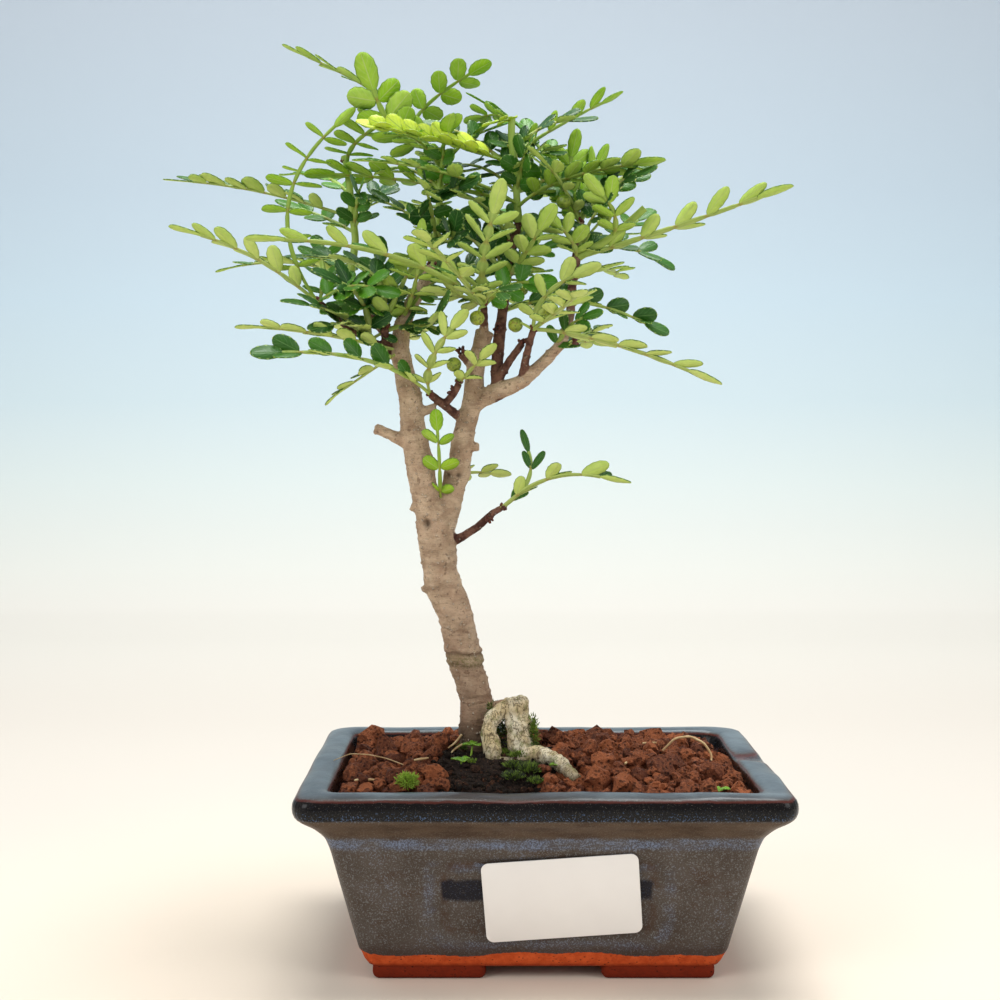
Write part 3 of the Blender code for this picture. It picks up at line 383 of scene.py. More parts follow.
def glazeFinish():
    glaze = Finish("glazedStoneware", Specular_IOR_Level=0.16, Coat_Roughness=0.14)
    spot = glaze.place()
    x, y, z = glaze.parts(spot)
    cloud = glaze.noise(spot, 9, 4)
    drift = glaze.noise(glaze.stretched(spot, (0.35, 0.35, 1)), 3, 5, 0.6)
    wander = glaze.noise(spot, 3, 3)
    speckle = glaze.noise(spot, 0.42, 2, 0.75)
    grain = glaze.noise(spot, 0.2, 1, 0.6)
    # warm dark grey with brown drifts, thickly sown with fine blue-grey specks
    body = glaze.mix(cloud.step(0.3, 0.7), tone(69, 60, 54), tone(83, 75, 69))
    body = glaze.mix(drift.step(0.52, 0.68) * 0.6, body, tone(66, 47, 35))
    panelGap = glaze.attribute("panelGap")
    wavy = z + (wander - 0.5) * 2.4
    band = wavy.step(33.6, 34.8) * (1 - wavy.step(36.6, 37.6))
    shelf = wavy.step(28, 28.8) * (1 - wavy.step(30, 31)) * (1 - abs(x - 2).step(22, 27)) * panelGap.step(-4, -2)
    around = (1 - abs(panelGap + wander * 2 + 1).step(0.4, 2.2)) * (1 - z.step(30, 32)) * drift.step(0.3, 0.6)
    thick = band.most(shelf * 0.9).most(around * 0.5) * (0.2 + drift.step(0.3, 0.62) * 0.8)
    body = glaze.mix(thick * 0.5, body, tone(84, 92, 110))
    specks = (speckle - 0.54 + thick * 0.08).step(0, 0.09)
    speckColour = glaze.mix(thick.most(cloud.step(0.5, 0.7) * 0.4), tone(124, 126, 126), tone(126, 144, 174))
    body = glaze.mix(specks * 0.6, body, speckColour)
    inner = (1 - abs(panelGap + wander * 1.4 - 2.6).step(0.3, 1.7)) * wander.step(0.35, 0.6)
    body = glaze.mix(inner * 0.6, body, tone(70, 50, 38))
    body = glaze.mix((1 - (z + wander * 2).step(8.5, 12)) * 0.6, body, tone(60, 45, 39))
    flare = z.step(36.9, 38.2) * (1 - z.step(42, 42.7))
    flareColour = glaze.mix(drift.step(0.4, 0.65), tone(84, 68, 54), tone(66, 50, 38))
    body = glaze.mix(flare * 0.9, body, glaze.mix(specks * 0.25, flareColour, tone(120, 112, 100)))
    # the pooled glaze behind the label: navy and almost black
    swell = (glaze.noise(spot, 4, 2) - 0.5) * 3
    level = z + swell * 0.7
    pool = (panelGap - x.step(-5, 5) * 1.3 + swell * 0.5).step(0.4, 1.4) * level.step(20.4, 21.8) * (1 - level.step(25.6, 26.8))
    body = glaze.mix(pool * 0.95, body, glaze.mix((speckle - 0.6).step(0, 0.08) * 0.45, tone(14, 16, 28), tone(72, 86, 118)))
    # the rim: near-black, blue specks gathered along its lower edge
    low = 1 - z.step(42.6, 46.4)
    rim = z.step(42.3, 42.9) * (1 - z.step(47.0, 47.5))
    rimColour = glaze.mix(z.step(44, 46.5), tone(5, 7, 12), tone(8, 3, 3))
    rimSpecks = (speckle - 0.66 + low * 0.11).step(0, 0.08) * (0.25 + low * 0.6)
    rimColour = glaze.mix(rimSpecks * 0.75, rimColour, tone(92, 118, 156))
    body = glaze.mix(rim, body, rimColour)
    body = glaze.mix((grain - 0.69).step(0, 0.04) * 0.4, body, tone(168, 160, 148))
    # the flat lip: blue-grey as a painted reflection of the light surroundings, with painted shade making it dark and
    # brownish in the middle of the front
    lip = z.step(47.3, 48.0)
    # painted reflection: the lip's lighter blue-grey, as it would mirror the light surroundings
    lipColourAndSheen = glaze.mix(cloud.step(0.3, 0.7), tone(60, 70, 76), tone(90, 102, 108))
    lipColourAndSheen = glaze.mix(drift.step(0.5, 0.7) * 0.5, lipColourAndSheen, tone(58, 66, 74))
    # painted shade: the middle of the front lip darkened, as it would mirror the dark in front of the pot
    dark = (1 - y.step(-41, -36)) * (1 - abs(x + 12 + swell * 4).step(8, 26))
    lipColourAndSheen = glaze.mix(dark * 0.85, lipColourAndSheen, glaze.mix(drift, tone(36, 30, 30), tone(66, 62, 62)))
    lipColourAndSheen = glaze.mix((speckle - 0.64).step(0, 0.08) * 0.4, lipColourAndSheen, tone(150, 158, 160))
    # the front edge painted browner, part of the same painted shade
    lipColourAndSheen = glaze.mix((1 - y.step(-47, -39)) * 0.5, lipColourAndSheen, tone(86, 74, 68))
    body = glaze.mix(lip, body, lipColourAndSheen)
    # the glaze runs thin and red-brown over the rim's crest and the corners
    crest = (1 - abs(z + wander * 0.8 - 47.65).step(0.08, 0.4)) * z.step(46.4, 46.9)
    cornerWear = (1 - (glaze.attribute("edgeGap") + wander * 1.8).step(1.2, 2.4)) * (1 - lip)
    body = glaze.mix(crest.most(cornerWear * 0.4) * 0.9, body, tone(78, 34, 27))
    # bare clay below the glaze
    clayLine = (glaze.attribute("bareClay") + (glaze.noise(spot, 1.2, 4) - 0.5) * 1.1).step(-0.12, 0.12)
    pits = glaze.cells(glaze.stretched(spot, (1, 1, 1.6)), 1.3)
    rough = glaze.noise(spot, 2.2, 5, 0.7)
    clay = glaze.mix(rough.step(0.25, 0.75), tone(178, 68, 28), tone(212, 94, 46))
    clay = glaze.mix(1 - z.step(3, 4.6), clay, glaze.mix(rough, tone(84, 24, 8), tone(132, 42, 16)))
    clay = glaze.mix((1 - pits).step(0.74, 0.92) * rough.step(0.42, 0.56), clay, tone(34, 14, 8))
    colour = glaze.mix(clayLine, body, clay)
    shine = 0.34 + cloud * 0.14 - rim * 0.14 - pool * 0.12 + specks * 0.06
    height = glaze.noise(spot, 1.8, 3) * 0.6 + speckle * 0.16 + (pits.step(0.05, 0.25) * 0.8 + rough) * clayLine
    return glaze.wear(
        Base_Color=colour, Roughness=shine * (1 - clayLine) + clayLine * 0.88,
        Coat_Weight=(rim * 0.1 + lip * 0.25 + 0.04) * (1 - clayLine), Normal=glaze.bump(height, 0.2, 0.7))


# Blank label: a rounded sticker pressed on the front wall
label = {"size": (38.1, 21.2), "corner": 1.9, "thick": 0.28, "middle": (4.2, 22.0), "turn": 4.3, "clear": 0.3,
         "lean": 0.2355, "wallFoot": (32.1, 7.3)}


def makeLabel():
    bpy.ops.mesh.primitive_plane_add(size=2, location=(0, 0, 0))
    sticker = bpy.context.object
    sticker.scale = (label["size"][0] / 2 * mm, label["size"][1] / 2 * mm, 1)
    bpy.ops.object.transform_apply()
    editing(sticker)
    bpy.ops.mesh.select_all(action="SELECT")
    bpy.ops.mesh.bevel(offset=label["corner"] * mm, segments=8, affect="VERTICES")
    bpy.ops.mesh.select_all(action="SELECT")
    bpy.ops.mesh.extrude_region_move(TRANSFORM_OT_translate={"value": (0, 0, label["thick"] * mm)})
    bpy.ops.object.mode_set(mode="OBJECT")
    outwards(sticker)
    applied(sticker, "BEVEL", width=0.08 * mm, segments=2, limit_method="ANGLE")
    lean = math.atan(label["lean"])
    depth = label["wallFoot"][0] + (label["middle"][1] - label["wallFoot"][1]) * label["lean"]
    place = Matrix.Translation(Vector((label["middle"][0], -depth, label["middle"][1])) * mm)
    place = place @ Matrix.Rotation(math.pi / 2 + lean, 4, "X") @ Matrix.Rotation(math.radians(label["turn"]), 4, "Z")
    place = place @ Matrix.Translation((0, 0, label["clear"] * mm))
    sticker.data.transform(place)
    smooth(sticker, 40)
    sticker.name = "blank_sticker"
    paper = Finish("labelPaper", 0.42)
    spot = paper.place()
    colour = paper.mix(paper.noise(spot, 14, 2), tone(232, 229, 226), tone(242, 240, 237))
    normal = paper.bump(paper.noise(spot, 0.35, 3), 0.02, 0.4)
    sticker.data.materials.append(paper.wear(Base_Color=colour, Normal=normal))
    return settle(sticker, "label_paper", "blank_label")


# Floor, back and light
stage = {
    "floorHalf": 1.4, "backAt": 1.1, "bend": 0.5, "wallTop": 2.4,
    # the paper's colour at each height in metres
    "tones": [(0, (217, 209, 197)), (0.01, (238, 233, 222)), (0.03, (237, 236, 226)), (0.1, (227, 236, 232)),
              (0.17, (215, 231, 235)),
              (0.27, (210, 229, 239)), (0.38, (207, 224, 236)), (0.6, (209, 221, 233))],
    # warm: painted warm bounce light on the floor round the pot
    "warm": (235, 220, 201), "far": (232, 226, 214),
}


def makeStage():
    bpy.ops.mesh.primitive_grid_add(x_subdivisions=2, y_subdivisions=60, size=2)
    floor = bpy.context.object
    floor.name = "studio_sweep"
    places = points(floor)
    run = (places[:, 1] + 1) / 2
    flat, bend = stage["backAt"] + stage["floorHalf"] - stage["bend"], stage["bend"]
    length = run * (flat + bend * math.pi / 2 + stage["wallTop"])
    turn = np.clip((length - flat) / bend, 0, math.pi / 2)
    rise = np.maximum(length - flat - bend * math.pi / 2, 0)
    places[:, 0] *= 2.2
    places[:, 1] = -stage["floorHalf"] + np.minimum(length, flat) + bend * np.sin(turn)
    places[:, 2] = bend * (1 - np.cos(turn)) + rise
    movePoints(floor, places)
    outwards(floor)
    pick(floor)
    bpy.ops.object.shade_smooth()
    paper = Finish("sweepPaper", 0.9)
    height = paper.parts(paper.place())[2] / 1000
    x, y, _ = paper.parts(paper.place())
    colour = paper.mix(y.step(280, 600), tone(*stage["tones"][0][1]), tone(*stage["far"]))
    for (low, _), (high, shade) in zip(stage["tones"], stage["tones"][1:]):
        rise = paper.node("ShaderNodeMapRange", {}, {"Value": height, "From Min": low, "From Max": high}, "Result")
        colour = paper.mix(rise, colour, tone(*shade))
    # painted warm bounce light: the floor tinted warmer round the pot, fading with distance
    near = 1 - (((x + 25) ** 2 + (y + 30) ** 2) ** 0.5).step(60, 240)
    colour = paper.mix(near, colour, tone(*stage["warm"]))
    floor.data.materials.append(paper.wear(Base_Color=colour))


def makeLight(name, place, target, size, power, colour=(1, 1, 1)):
    bpy.ops.object.light_add(type="AREA", location=place)
    lamp = bpy.context.object
    lamp.name = name
    lamp.data.shape, lamp.data.size, lamp.data.energy, lamp.data.color = "DISK", size, power, colour
    lamp.rotation_euler = (Vector(target) - Vector(place)).to_track_quat("-Z", "Y").to_euler()


def makeCamera():
    view = {"place": (-13.5, -394, 133), "shift": (0.011, -0.06), "lens": 53.17}
    bpy.ops.object.camera_add(location=potMiddle + Vector(view["place"]) * mm)
    camera = bpy.context.object
    camera.rotation_euler = (math.radians(90), 0, 0)
    camera.data.lens = view["lens"]
    camera.data.shift_x, camera.data.shift_y = view["shift"]
    camera.data.clip_start = 0.01
    bpy.context.scene.camera = camera
    bpy.context.scene.view_settings.view_transform = "Standard"


def makeWorld():
    world = bpy.data.worlds.new("studio")
    bpy.context.scene.world = world
    world.use_nodes = True
    world.node_tree.nodes["Background"].inputs["Color"].default_value = (0.93, 0.96, 1, 1)
    world.node_tree.nodes["Background"].inputs["Strength"].default_value = 0.5


# Foliage: one leaflet modelled in a few patterns, and copied along every leaf
foliage = {
    "leaflet": (7.7, 4.5), "thick": 0.24, "cells": (12, 2), "patterns": 6,
    "petiole": 0.2, "closest": 0.92, "rachis": (0.46, 0.32), "bud": 0.85, "berry": 1.95,
    # how the leaflets stand: fold from the rib's plane, sweep to the tip, turned level to the sky, width,
    # the rib's wings, how much narrower the last leaflets are
    "styles": {
        "open": (14, 38, 0.3, 1, 1.9, 0.1), "raised": (36, 52, 0.1, 1, 1.9, 0.5), "along": (24, 64, 0.2, 0.8, 1.9, 0.4),
        "level": (6, 10, 0.72, 0.86, 1.5, 0.35), "round": (20, 20, 0.15, 1.28, 1.8, 0.1), "upright": (42, 56, 0.05, 1.3, 1.8, 0.1),
        "winged": (10, 38, 0.4, 0.66, 3.4, 0), "close": (6, 24, 0.75, 1.3, 2, 0)},
}
# Each spray grows from a bud at "seat". A leaf is: base or None for the bud, a point on its way, tip,
# pairs of leaflets, face (0 up, 90 to the front, -90 to the back), size, how its leaflets stand if not open,
# and a tone if not by its height: 0 an old dark leaf or painted shade, 1 a bright one with painted light
# shining through it, 2 the yellow young one.
sprays = {
    "left_twig_leaves": {
        "seat": (-58, -10, 168.7), "toward": (-0.8, -0.1, 0.6),
        "leaves": [
            (None, (-65.2, -12, 195), (-49, -6, 219.5), 6, -60, 0.88, "level", 0.9),
            (None, (-76, -15, 181), (-94, -20, 186.4), 5, -22, 1.0, "raised", 0.2),
            (None, (-58, 3, 178), (-62, 16, 190), 3, 50, 1.0)]},
    "left_leader_side_leaves": {
        "seat": (-37, -3, 156.5), "toward": (-0.5, -0.85, -0.1),
        "leaves": [
            (None, (-57, -15, 160.2), (-77, -21, 161.8), 5, -20, 0.95, "along", 0),
            (None, (-46, -13, 149.5), (-55, -20, 142.5), 3, -30, 0.85, "along", 0)]},
    "back_twig_leaves": {
        "seat": (-51.5, 10, 177.3), "toward": (0.1, 0.1, 1),
        "shoot": [(-50.1, 12, 188), (-51.2, 12, 196), (-52.5, 13, 208.6), (-53.4, 13, 211.3)],
        "leaves": [
            ((-51, 12, 194), (-76, 5, 200.2), (-98.6, -5, 201.4), 7, 10, 0.95, "raised", 0.25),
            ((-50.4, 12, 190), (-62, 17, 196), (-73, 20, 199.5), 3, 30, 1.0),
            ((-52.5, 13, 208.6), (-48.3, 5, 214.5), (-34.8, -4, 219.4), 4, -45, 1.0, "level"),
            ((-51.5, 12.5, 200), (-62, 30, 209), (-75, 44, 211), 4, 10, 1.0),
            (None, (-58, 28, 184), (-63, 46, 186), 4, 0, 1.0),
            (None, (-69, 14, 182), (-88, 12, 179.5), 5, 0, 0.9)]},
    "back_twig_low_leaves": {
        "seat": (-44, 3.6, 165), "toward": (-0.2, 0.9, -0.6),
        "leaves": [(None, (-50, 22, 166), (-56, 40, 163), 4, 5, 1.0)]},
    "front_twig_leaves": {
        "seat": (-44.9, -5, 159.2), "toward": (0.5, -0.2, 0.7),
        "leaves": [
            ((-40.9, -5.5, 163), (-46, -5, 178), (-67, -3, 181), 4, 20, 1.05, "open", 0.05),
            (None, (-48, -10, 171), (-58.5, -17, 174.5), 3, 45, 1.1, "open", 0),
            (None, (-54, -14, 166), (-66, -19, 167.5), 3, 25, 0.95, "open", 0.1),
            ((-40.9, -5.5, 163), (-41.5, -3, 173), (-43, 3, 187), 3, 60, 1.0, "open", 0.1),
            ((-40.9, -5.5, 163), (-37, -8, 172), (-30, -11, 184), 3, -25, 0.95, "open", 0.5)]},
    "left_leader_top_leaves": {
        "seat": (-28.7, 0, 179.4), "toward": (0.2, 0, 1),
        "shoot": [(-27, 1, 193), (-26.3, 2, 205.8), (-28, 2, 209.6), (-29.9, 2, 212)],
        "leaves": [
            ((-29.9, 2, 212), (-42, 5, 225.5), (-69, 6, 239.5), 6, -8, 0.95, "along", 0.55),
            ((-29.9, 2, 212), (-39.5, -6, 216), (-46, -10, 233), 4, -60, 1.18, "round", 0.85),
            ((-29.4, 2, 211.5), (-33, 13, 222.5), (-13.5, 9, 236), 5, -38, 0.82, "round", 1.0),
            ((-27, 2, 208), (-24, -5, 214), (-20.5, -9, 217.5), 2, -50, 0.7),
            ((-26.9, 1.2, 195), (-31, 24, 199), (-38, 46, 202), 5, 0, 1.0),
            ((-27.4, 1, 188), (-24, 24, 193), (-22, 46, 191), 5, 0, 1.0),
            ((-27.4, 1, 189), (-23.5, -10, 185), (-22, -18, 192.5), 3, 75, 0.95, "open", 0),
            ((-26.6, 1.4, 200), (-24, -8, 198), (-15.5, -14, 201), 3, 65, 0.95, "round", 0.05),
            (None, (-21, 9, 180), (-12, 16, 184), 3, 60, 0.95)]},
    "left_leader_front_leaves": {
        "seat": (-36.4, -2, 165), "toward": (0.35, -0.9, 0.3),
        "leaves": [
            (None, (-32, -13, 176), (-31, -17, 189), 4, -65, 0.95, "level"),
            (None, (-28.6, -11, 163), (-24.5, -17, 171.5), 3, 40, 0.9)]},
    "left_leader_back_leaves": {
        "seat": (-37.1, -3, 157), "toward": (-0.2, 0.95, 0.2),
        "leaves": [(None, (-36, 20, 164), (-36, 42, 162), 5, 0, 1.0)]},
    "crossing_twig_leaves": {
        "seat": (-28.8, -6, 144.9), "toward": (-0.6, -0.6, 0.5),
        "leaves": [
            (None, (-46, -22, 153.5), (-71.5, -31, 154), 5, 50, 0.95, "upright", 0.35),
            (None, (-28, -15, 154), (-19, -21, 165.5), 4, -62, 0.8, "winged", 0.15)]},
    "hooked_twig_leaves": {
        "seat": (-21.3, -8, 147.8), "toward": (0.1, -0.5, 0.9),
        "leaves": [(None, (-16.5, -13, 153), (-12, -17, 157), 2, -30, 0.75)],
        "berries": [(-22.6, -10.6, 152.6)]},
    "top_twig_leaves": {
        "seat": (-14.8, -8, 168), "toward": (-0.1, -0.5, 0.9),
        "leaves": [
            (None, (-14.8, -17, 180), (-10, -24, 197.8), 5, -80, 1.1, "winged", 0.3),
            (None, (-39, -23, 179.5), (-72.5, -31, 182.3), 5, -28, 1.15, "raised", 0.4),
            (None, (-24, -32, 177), (-30, -52, 181), 4, 0, 1.0),
            (None, (-23, -9, 171), (-30.5, -10, 170), 2, -35, 1.0)],
        "berries": [(-16.6, -11.5, 164.6)]},
    "upright_side_leaves": {
        "seat": (-9.9, 1.5, 167.2), "toward": (0.85, 0.5, 0.1),
        "leaves": [
            (None, (11, 8, 170.6), (35, 10, 162), 5, 50, 0.85, "upright", 0.3),
            (None, (-3, 26, 172), (2, 45, 169), 4, 0, 1.0)]},
    "upright_front_leaves": {
        "seat": (-8.8, 2, 176), "toward": (0.3, -0.95, 0.1),
        "leaves": [
            (None, (-3, -12, 183), (3, -17, 193), 4, -60, 0.95),
            (None, (-13, 8, 186), (-21, 13, 195.5), 4, 25, 0.95, "round", 0.1),
            (None, (-3, 10, 186), (3, 15, 197), 4, -35, 0.9, "round", 0.7)],
        "berries": [(-5, -3.5, 173)]},
    "upright_top_leaves": {
        "seat": (-5.5, 1, 191.3), "toward": (0, 0, 1),
        "shoot": [(-6, 0, 196), (-6.3, 0, 202.4), (-7.1, -1, 209), (-7.6, -1, 214.4), (-7.4, -1, 218.9)],
        "leaves": [
            ((-6.8, -0.6, 206.5), (-27, -12, 210.5), (-46.5, -22, 212.8), 8, 42, 0.86, "upright", 2.0),
            ((-6, 0, 196), (-24, -14, 201.5), (-46.7, -28, 202.4), 6, 15, 1.0),
            ((-6, 0, 196.5), (-37.7, 9, 204), (-63.2, 9, 205.4), 7, -30, 1.0),
            ((-6, 0, 195), (8, -9, 201.5), (31, -16, 204.3), 6, -20, 1.0),
            ((-7.1, -1, 209), (6.4, 8, 219), (23.3, 15, 229), 4, -30, 0.9, "raised", 0.95),
            ((-6.2, 0, 199), (2, 24, 204), (7, 46, 204), 5, 0, 1.0),
            ((-7.5, -1, 217.5), (-13, 6, 221), (-20, 10, 219), 3, -40, 0.7),
            ((-7.4, -1, 218), (-11, -5, 217), (-15, -8, 214.5), 3, -20, 0.55, "level", 1.8),
            (None, (-13, 5, 195), (-21, 7, 193.5), 2, 60, 0.95)]},
    "upright_back_leaves": {
        "seat": (-7.4, 2, 186), "toward": (-0.2, 0.95, 0.2),
        "leaves": [(None, (-11, 28, 197), (-14, 50, 199), 5, 0, 1.0)]},
    "limb_top_leaves": {
        "seat": (10.5, -4, 190.5), "toward": (0.1, 0.2, 1),
        "leaves": [
            (None, (-1, 12, 215), (-19, 8, 226.5), 5, 15, 1.0),
            (None, (14, 4, 203), (19, 9, 213), 4, -40, 0.95),
            (None, (20, 18, 204), (31, 38, 208), 5, 0, 1.0),
            (None, (6, 4, 203), (2, 8, 213), 4, -40, 0.9),
            (None, (8, 2, 204), (11, 0, 215), 4, -45, 0.9)],
        "berries": [(6, -9.6, 195)]},
    "limb_side_leaves": {
        "seat": (9.6, -4, 181), "toward": (0.8, -0.3, 0.5),
        "shoot": [(18.9, -8, 186.1), (27, -10, 193.3)],
        "leaves": [
            (None, (37.5, -13, 189), (62.7, -20, 197.4), 5, -34, 1.12, "raised", 0.3),
            (None, (22, 1, 184.6), (36, 6, 179), 3, 45, 0.95),
            (None, (22, 12, 190), (33, 22, 198), 4, 40, 1.0),
            ((18.9, -8, 186.1), (18, -15, 192.5), (10.5, -18, 199.5), 3, -50, 0.9),
            (None, (7, -11, 186), (-0.5, -15, 191.5), 3, -60, 0.9)],
        "berries": [(17, -4.6, 192)]},
    "limb_back_leaves": {
        "seat": (8.6, -5, 175), "toward": (0.3, 0.95, 0),
        "leaves": [(None, (19, 20, 181), (26, 41, 180), 5, 0, 1.0)]},
    "limb_low_leaves": {
        "seat": (3.2, -5.4, 156), "toward": (0.5, 0.8, 0.1),
        "leaves": [
            (None, (12, 4, 159.5), (21, 8, 158), 3, -30, 0.9),
            (None, (14, 18, 163), (20, 30, 165), 4, 30, 0.95)]},
    "forked_twig_leaves": {
        "seat": (-2, -11, 161.7), "toward": (0.3, -0.3, 0.9),
        "leaves": [
            (None, (18, -17, 157.6), (44.2, -23, 147.2), 5, -30, 1.08, "along", 0.05),
            (None, (2, -15, 171), (14.5, -20, 177), 3, -55, 0.95),
            (None, (5, -28, 166), (8, -46, 168), 4, 0, 1.0)],
        "berries": [(2.6, -12.6, 166.4), (-6.6, -9.2, 163)]},
    "crotch_leaf": {
        "seat": (-26.5, 1, 116), "toward": (0.05, -1, 0.25),
        "leaves": [(None, (-26.6, -8, 130), (-27.5, -9.5, 140.5), 3, 265, 0.66, "round", 1.0)]},
    "leader_knot_leaf": {
        "seat": (-22.2, 3, 123.8), "toward": (0.75, 0.6, 0),
        "leaves": [(None, (-14.5, 6, 124.2), (-8, 7.5, 122.8), 2, -45, 0.72, "open", 0)]},
    "low_twig_leaves": {
        "seat": (-10.1, -3, 115), "toward": (0.9, -0.2, 0.4),
        "leaves": [
            (None, (5, -9, 123.6), (22, -15, 121.2), 3, -32, 1.0, "raised", 0.1),
            (None, (-2.5, 2, 124), (-5.5, 6, 135), 2, 60, 0.8, "along", 0.3)]},
}


# bare clusters of buds: spray they belong to, place, which way they point
bareBuds = [
    ("front_twig_leaves", (-40.9, -5.3, 162.6), (0, -0.1, 1)), ("back_twig_leaves", (-53, 13, 209.8), (-0.3, 0, 1)),
    ("forked_twig_leaves", (8.6, -7, 158.9), (1, -0.4, 0.3)), ("forked_twig_leaves", (-4.8, -6.2, 158.6), (0.2, -0.2, 1)),
    ("hooked_twig_leaves", (-22.9, -7.2, 145.8), (-0.8, -0.4, 0.4)), ("top_twig_leaves", (-20.9, -1.4, 156.4), (-0.6, -0.3, 0.8)),
    ("upright_side_leaves", (-11, -0.4, 163), (-0.8, -0.6, 0.2)), 
    ("low_twig_leaves", (-13.6, -1.8, 112.6), (0.3, -0.5, -0.8)),
]
# short leaves inside the crown: spray, where on its shoot, how many
innerLeaves = [
    ("left_leader_top_leaves", (-27.6, 0.6, 186), 3), ("left_leader_top_leaves", (-26.6, 1.4, 200), 3),
    ("left_leader_top_leaves", (-26.3, 2, 205.8), 3), ("upright_top_leaves", (-6.1, 0, 199), 3),
    ("upright_top_leaves", (-6.4, -0.2, 203.5), 3), ("upright_top_leaves", (-7.2, -1, 210), 2),
    ("back_twig_leaves", (-50.6, 12, 191), 2), ("top_twig_leaves", (-14.8, -8, 168), 3),
    ("upright_front_leaves", (-8.8, 2, 176), 3), ("left_leader_front_leaves", (-36.4, -2, 165), 3),
    ("limb_top_leaves", (10.5, -4, 190.5), 4), ("limb_side_leaves", (9.6, -4, 181), 2),
    ("left_twig_leaves", (-58, -10, 168.7), 1), ("front_twig_leaves", (-44.9, -5, 159.2), 2),
    ("upright_back_leaves", (-7.4, 2, 186), 2), ("limb_low_leaves", (3.2, -5.4, 156), 1),
]


def innerRows(node, rng):
    # the short leaves of a spray, reaching out and up round the middle of the crown
    rows = []
    for spray, base, count in innerLeaves:
        if spray != node:
            continue
        start = rng.uniform(0, 6.283)
        for number in range(count):
            turn = start + number * 2.4
            reach, climb = rng.uniform(17, 26), rng.uniform(-3, 15)
            tip = (base[0] + reach * math.cos(turn), base[1] + reach * math.sin(turn) * 0.9, base[2] + climb)
            way = tuple((a + b) / 2 + lift for a, b, lift in zip(base, tip, (0, 0, 4)))
            # mostly low tones: painted shade inside the crown
            rows.append((base, way, tip, rng.choice((3, 4, 4)), rng.uniform(10, 75), rng.uniform(0.8, 1),
                         rng.choice(("open", "round", "level")), rng.choice((0, 0.1, 0.2, 0.4, 0.8))))
    return rows


class Leaf:
    # a rib along a curve, with where and how each leaflet stands on it, in millimetres
    def __init__(self, base, way, tip, pairs, face, size, style, rng):
        self.base, self.tip = Vector(base), Vector(tip)
        self.bend = 2 * Vector(way) - 0.5 * (self.base + self.tip)
        self.up = Vector((0, -math.sin(math.radians(face)), math.cos(math.radians(face))))
        steps = [self.curve(i / 40) for i in range(41)]
        self.reached = np.concatenate([[0], np.cumsum([(b - a).length for a, b in zip(steps, steps[1:])])])
        length, width = foliage["leaflet"]
        self.run = self.reached[-1] - length * size * 1.02
        petiole = foliage["petiole"]
        while pairs > 1 and self.run * (0.98 - petiole) / (pairs - 0.6) < width * size * foliage["closest"]:
            pairs -= 1
        self.joints = [self.run * (petiole + (0.98 - petiole) * i / (pairs - 0.6)) for i in range(pairs)]
        self.leaflets = []
        fold, sweep, self.level, self.wide, self.wing, taper = foliage["styles"][style]
        self.wide *= rng.uniform(0.95, 1.1)
        self.last = max(self.wide, 0.88) * (1 - taper) ** 0.8
        for order, at in enumerate(self.joints):
            grown = size * (0.8 + 0.2 * min(1, order / 1.5))
            for side in (1, -1):
                self.leaflets.append({
                    "at": at + rng.uniform(-0.3, 0.3), "side": side, "size": grown * rng.uniform(0.84, 1.08),
                    "wide": self.wide * (1 - taper * order / pairs) * rng.uniform(0.9, 1.1),
                    "sweep": sweep + 14 * order / pairs + rng.uniform(-9, 9), "fold": fold + rng.uniform(-14, 14)})
        self.size = size

    def curve(self, share):
        return (1 - share) ** 2 * self.base + 2 * share * (1 - share) * self.bend + share ** 2 * self.tip

    def frame(self, distance):
        # place, forward, left and top at this distance along the rib
        share = float(np.interp(distance, self.reached, np.linspace(0, 1, 41)))
        forward = (2 * (1 - share) * (self.bend - self.base) + 2 * share * (self.tip - self.bend)).normalized()
        top = (self.up - forward * self.up.dot(forward)).normalized()
        return self.curve(share), forward, top.cross(forward), top


def blade(root, out, across, normal, length, width):
    # where a leaflet pattern goes: its length along out, its top towards normal
    turned = Matrix((out * length, across * width, normal)).transposed().to_4x4()
    return Matrix.Translation(root * mm) @ turned


def makeLeafletPattern(rng):
    along, wide = foliage["cells"]
    bpy.ops.mesh.primitive_grid_add(x_subdivisions=along, y_subdivisions=wide, size=2)
    leaflet = bpy.context.object
    places = points(leaflet)
    turn, across = (places[:, 0] + 1) / 2 * math.pi, places[:, 1]
    column = np.round((places[:, 0] + 1) / 2 * along).astype(int)
    length, width = foliage["leaflet"]
    run = (1 - np.cos(turn)) / 2
    half = np.sin(turn) * (0.9 + 0.2 * run) * width / 2
    notch = (column % 2 == 1) & (np.abs(across) > 0.9)
    half = np.where(notch, half * 0.93, half)
    fold, curl, wave = rng.uniform(0.06, 0.3), rng.uniform(-0.25, 0.9), rng.uniform(0.05, 0.2)
    rise = np.abs(across) ** 1.4 * half * fold - curl * run ** 2 + wave * np.sin(turn * 2.6 + across) * across ** 2
    places = np.stack([run * length * (1 - 0.03 * (column == along)), across * half, rise], axis=1)
    movePoints(leaflet, places * mm)
    editing(leaflet)
    bpy.ops.mesh.select_all(action="SELECT")
    bpy.ops.mesh.remove_doubles(threshold=0.02 * mm)
    bpy.ops.object.mode_set(mode="OBJECT")
    for finish in leafFinishes[:2]:
        leaflet.data.materials.append(finish)
    applied(leaflet, "SOLIDIFY", thickness=foliage["thick"] * mm, offset=-1, material_offset=1)
    pick(leaflet)
    bpy.ops.object.shade_smooth()
    return leaflet


def placedCopy(pattern, place):
    # one more of the pattern, with its own mesh
    item = bpy.data.objects.new(pattern.name, pattern.data.copy())
    item.data.transform(place)
    bpy.context.scene.collection.objects.link(item)
    return item


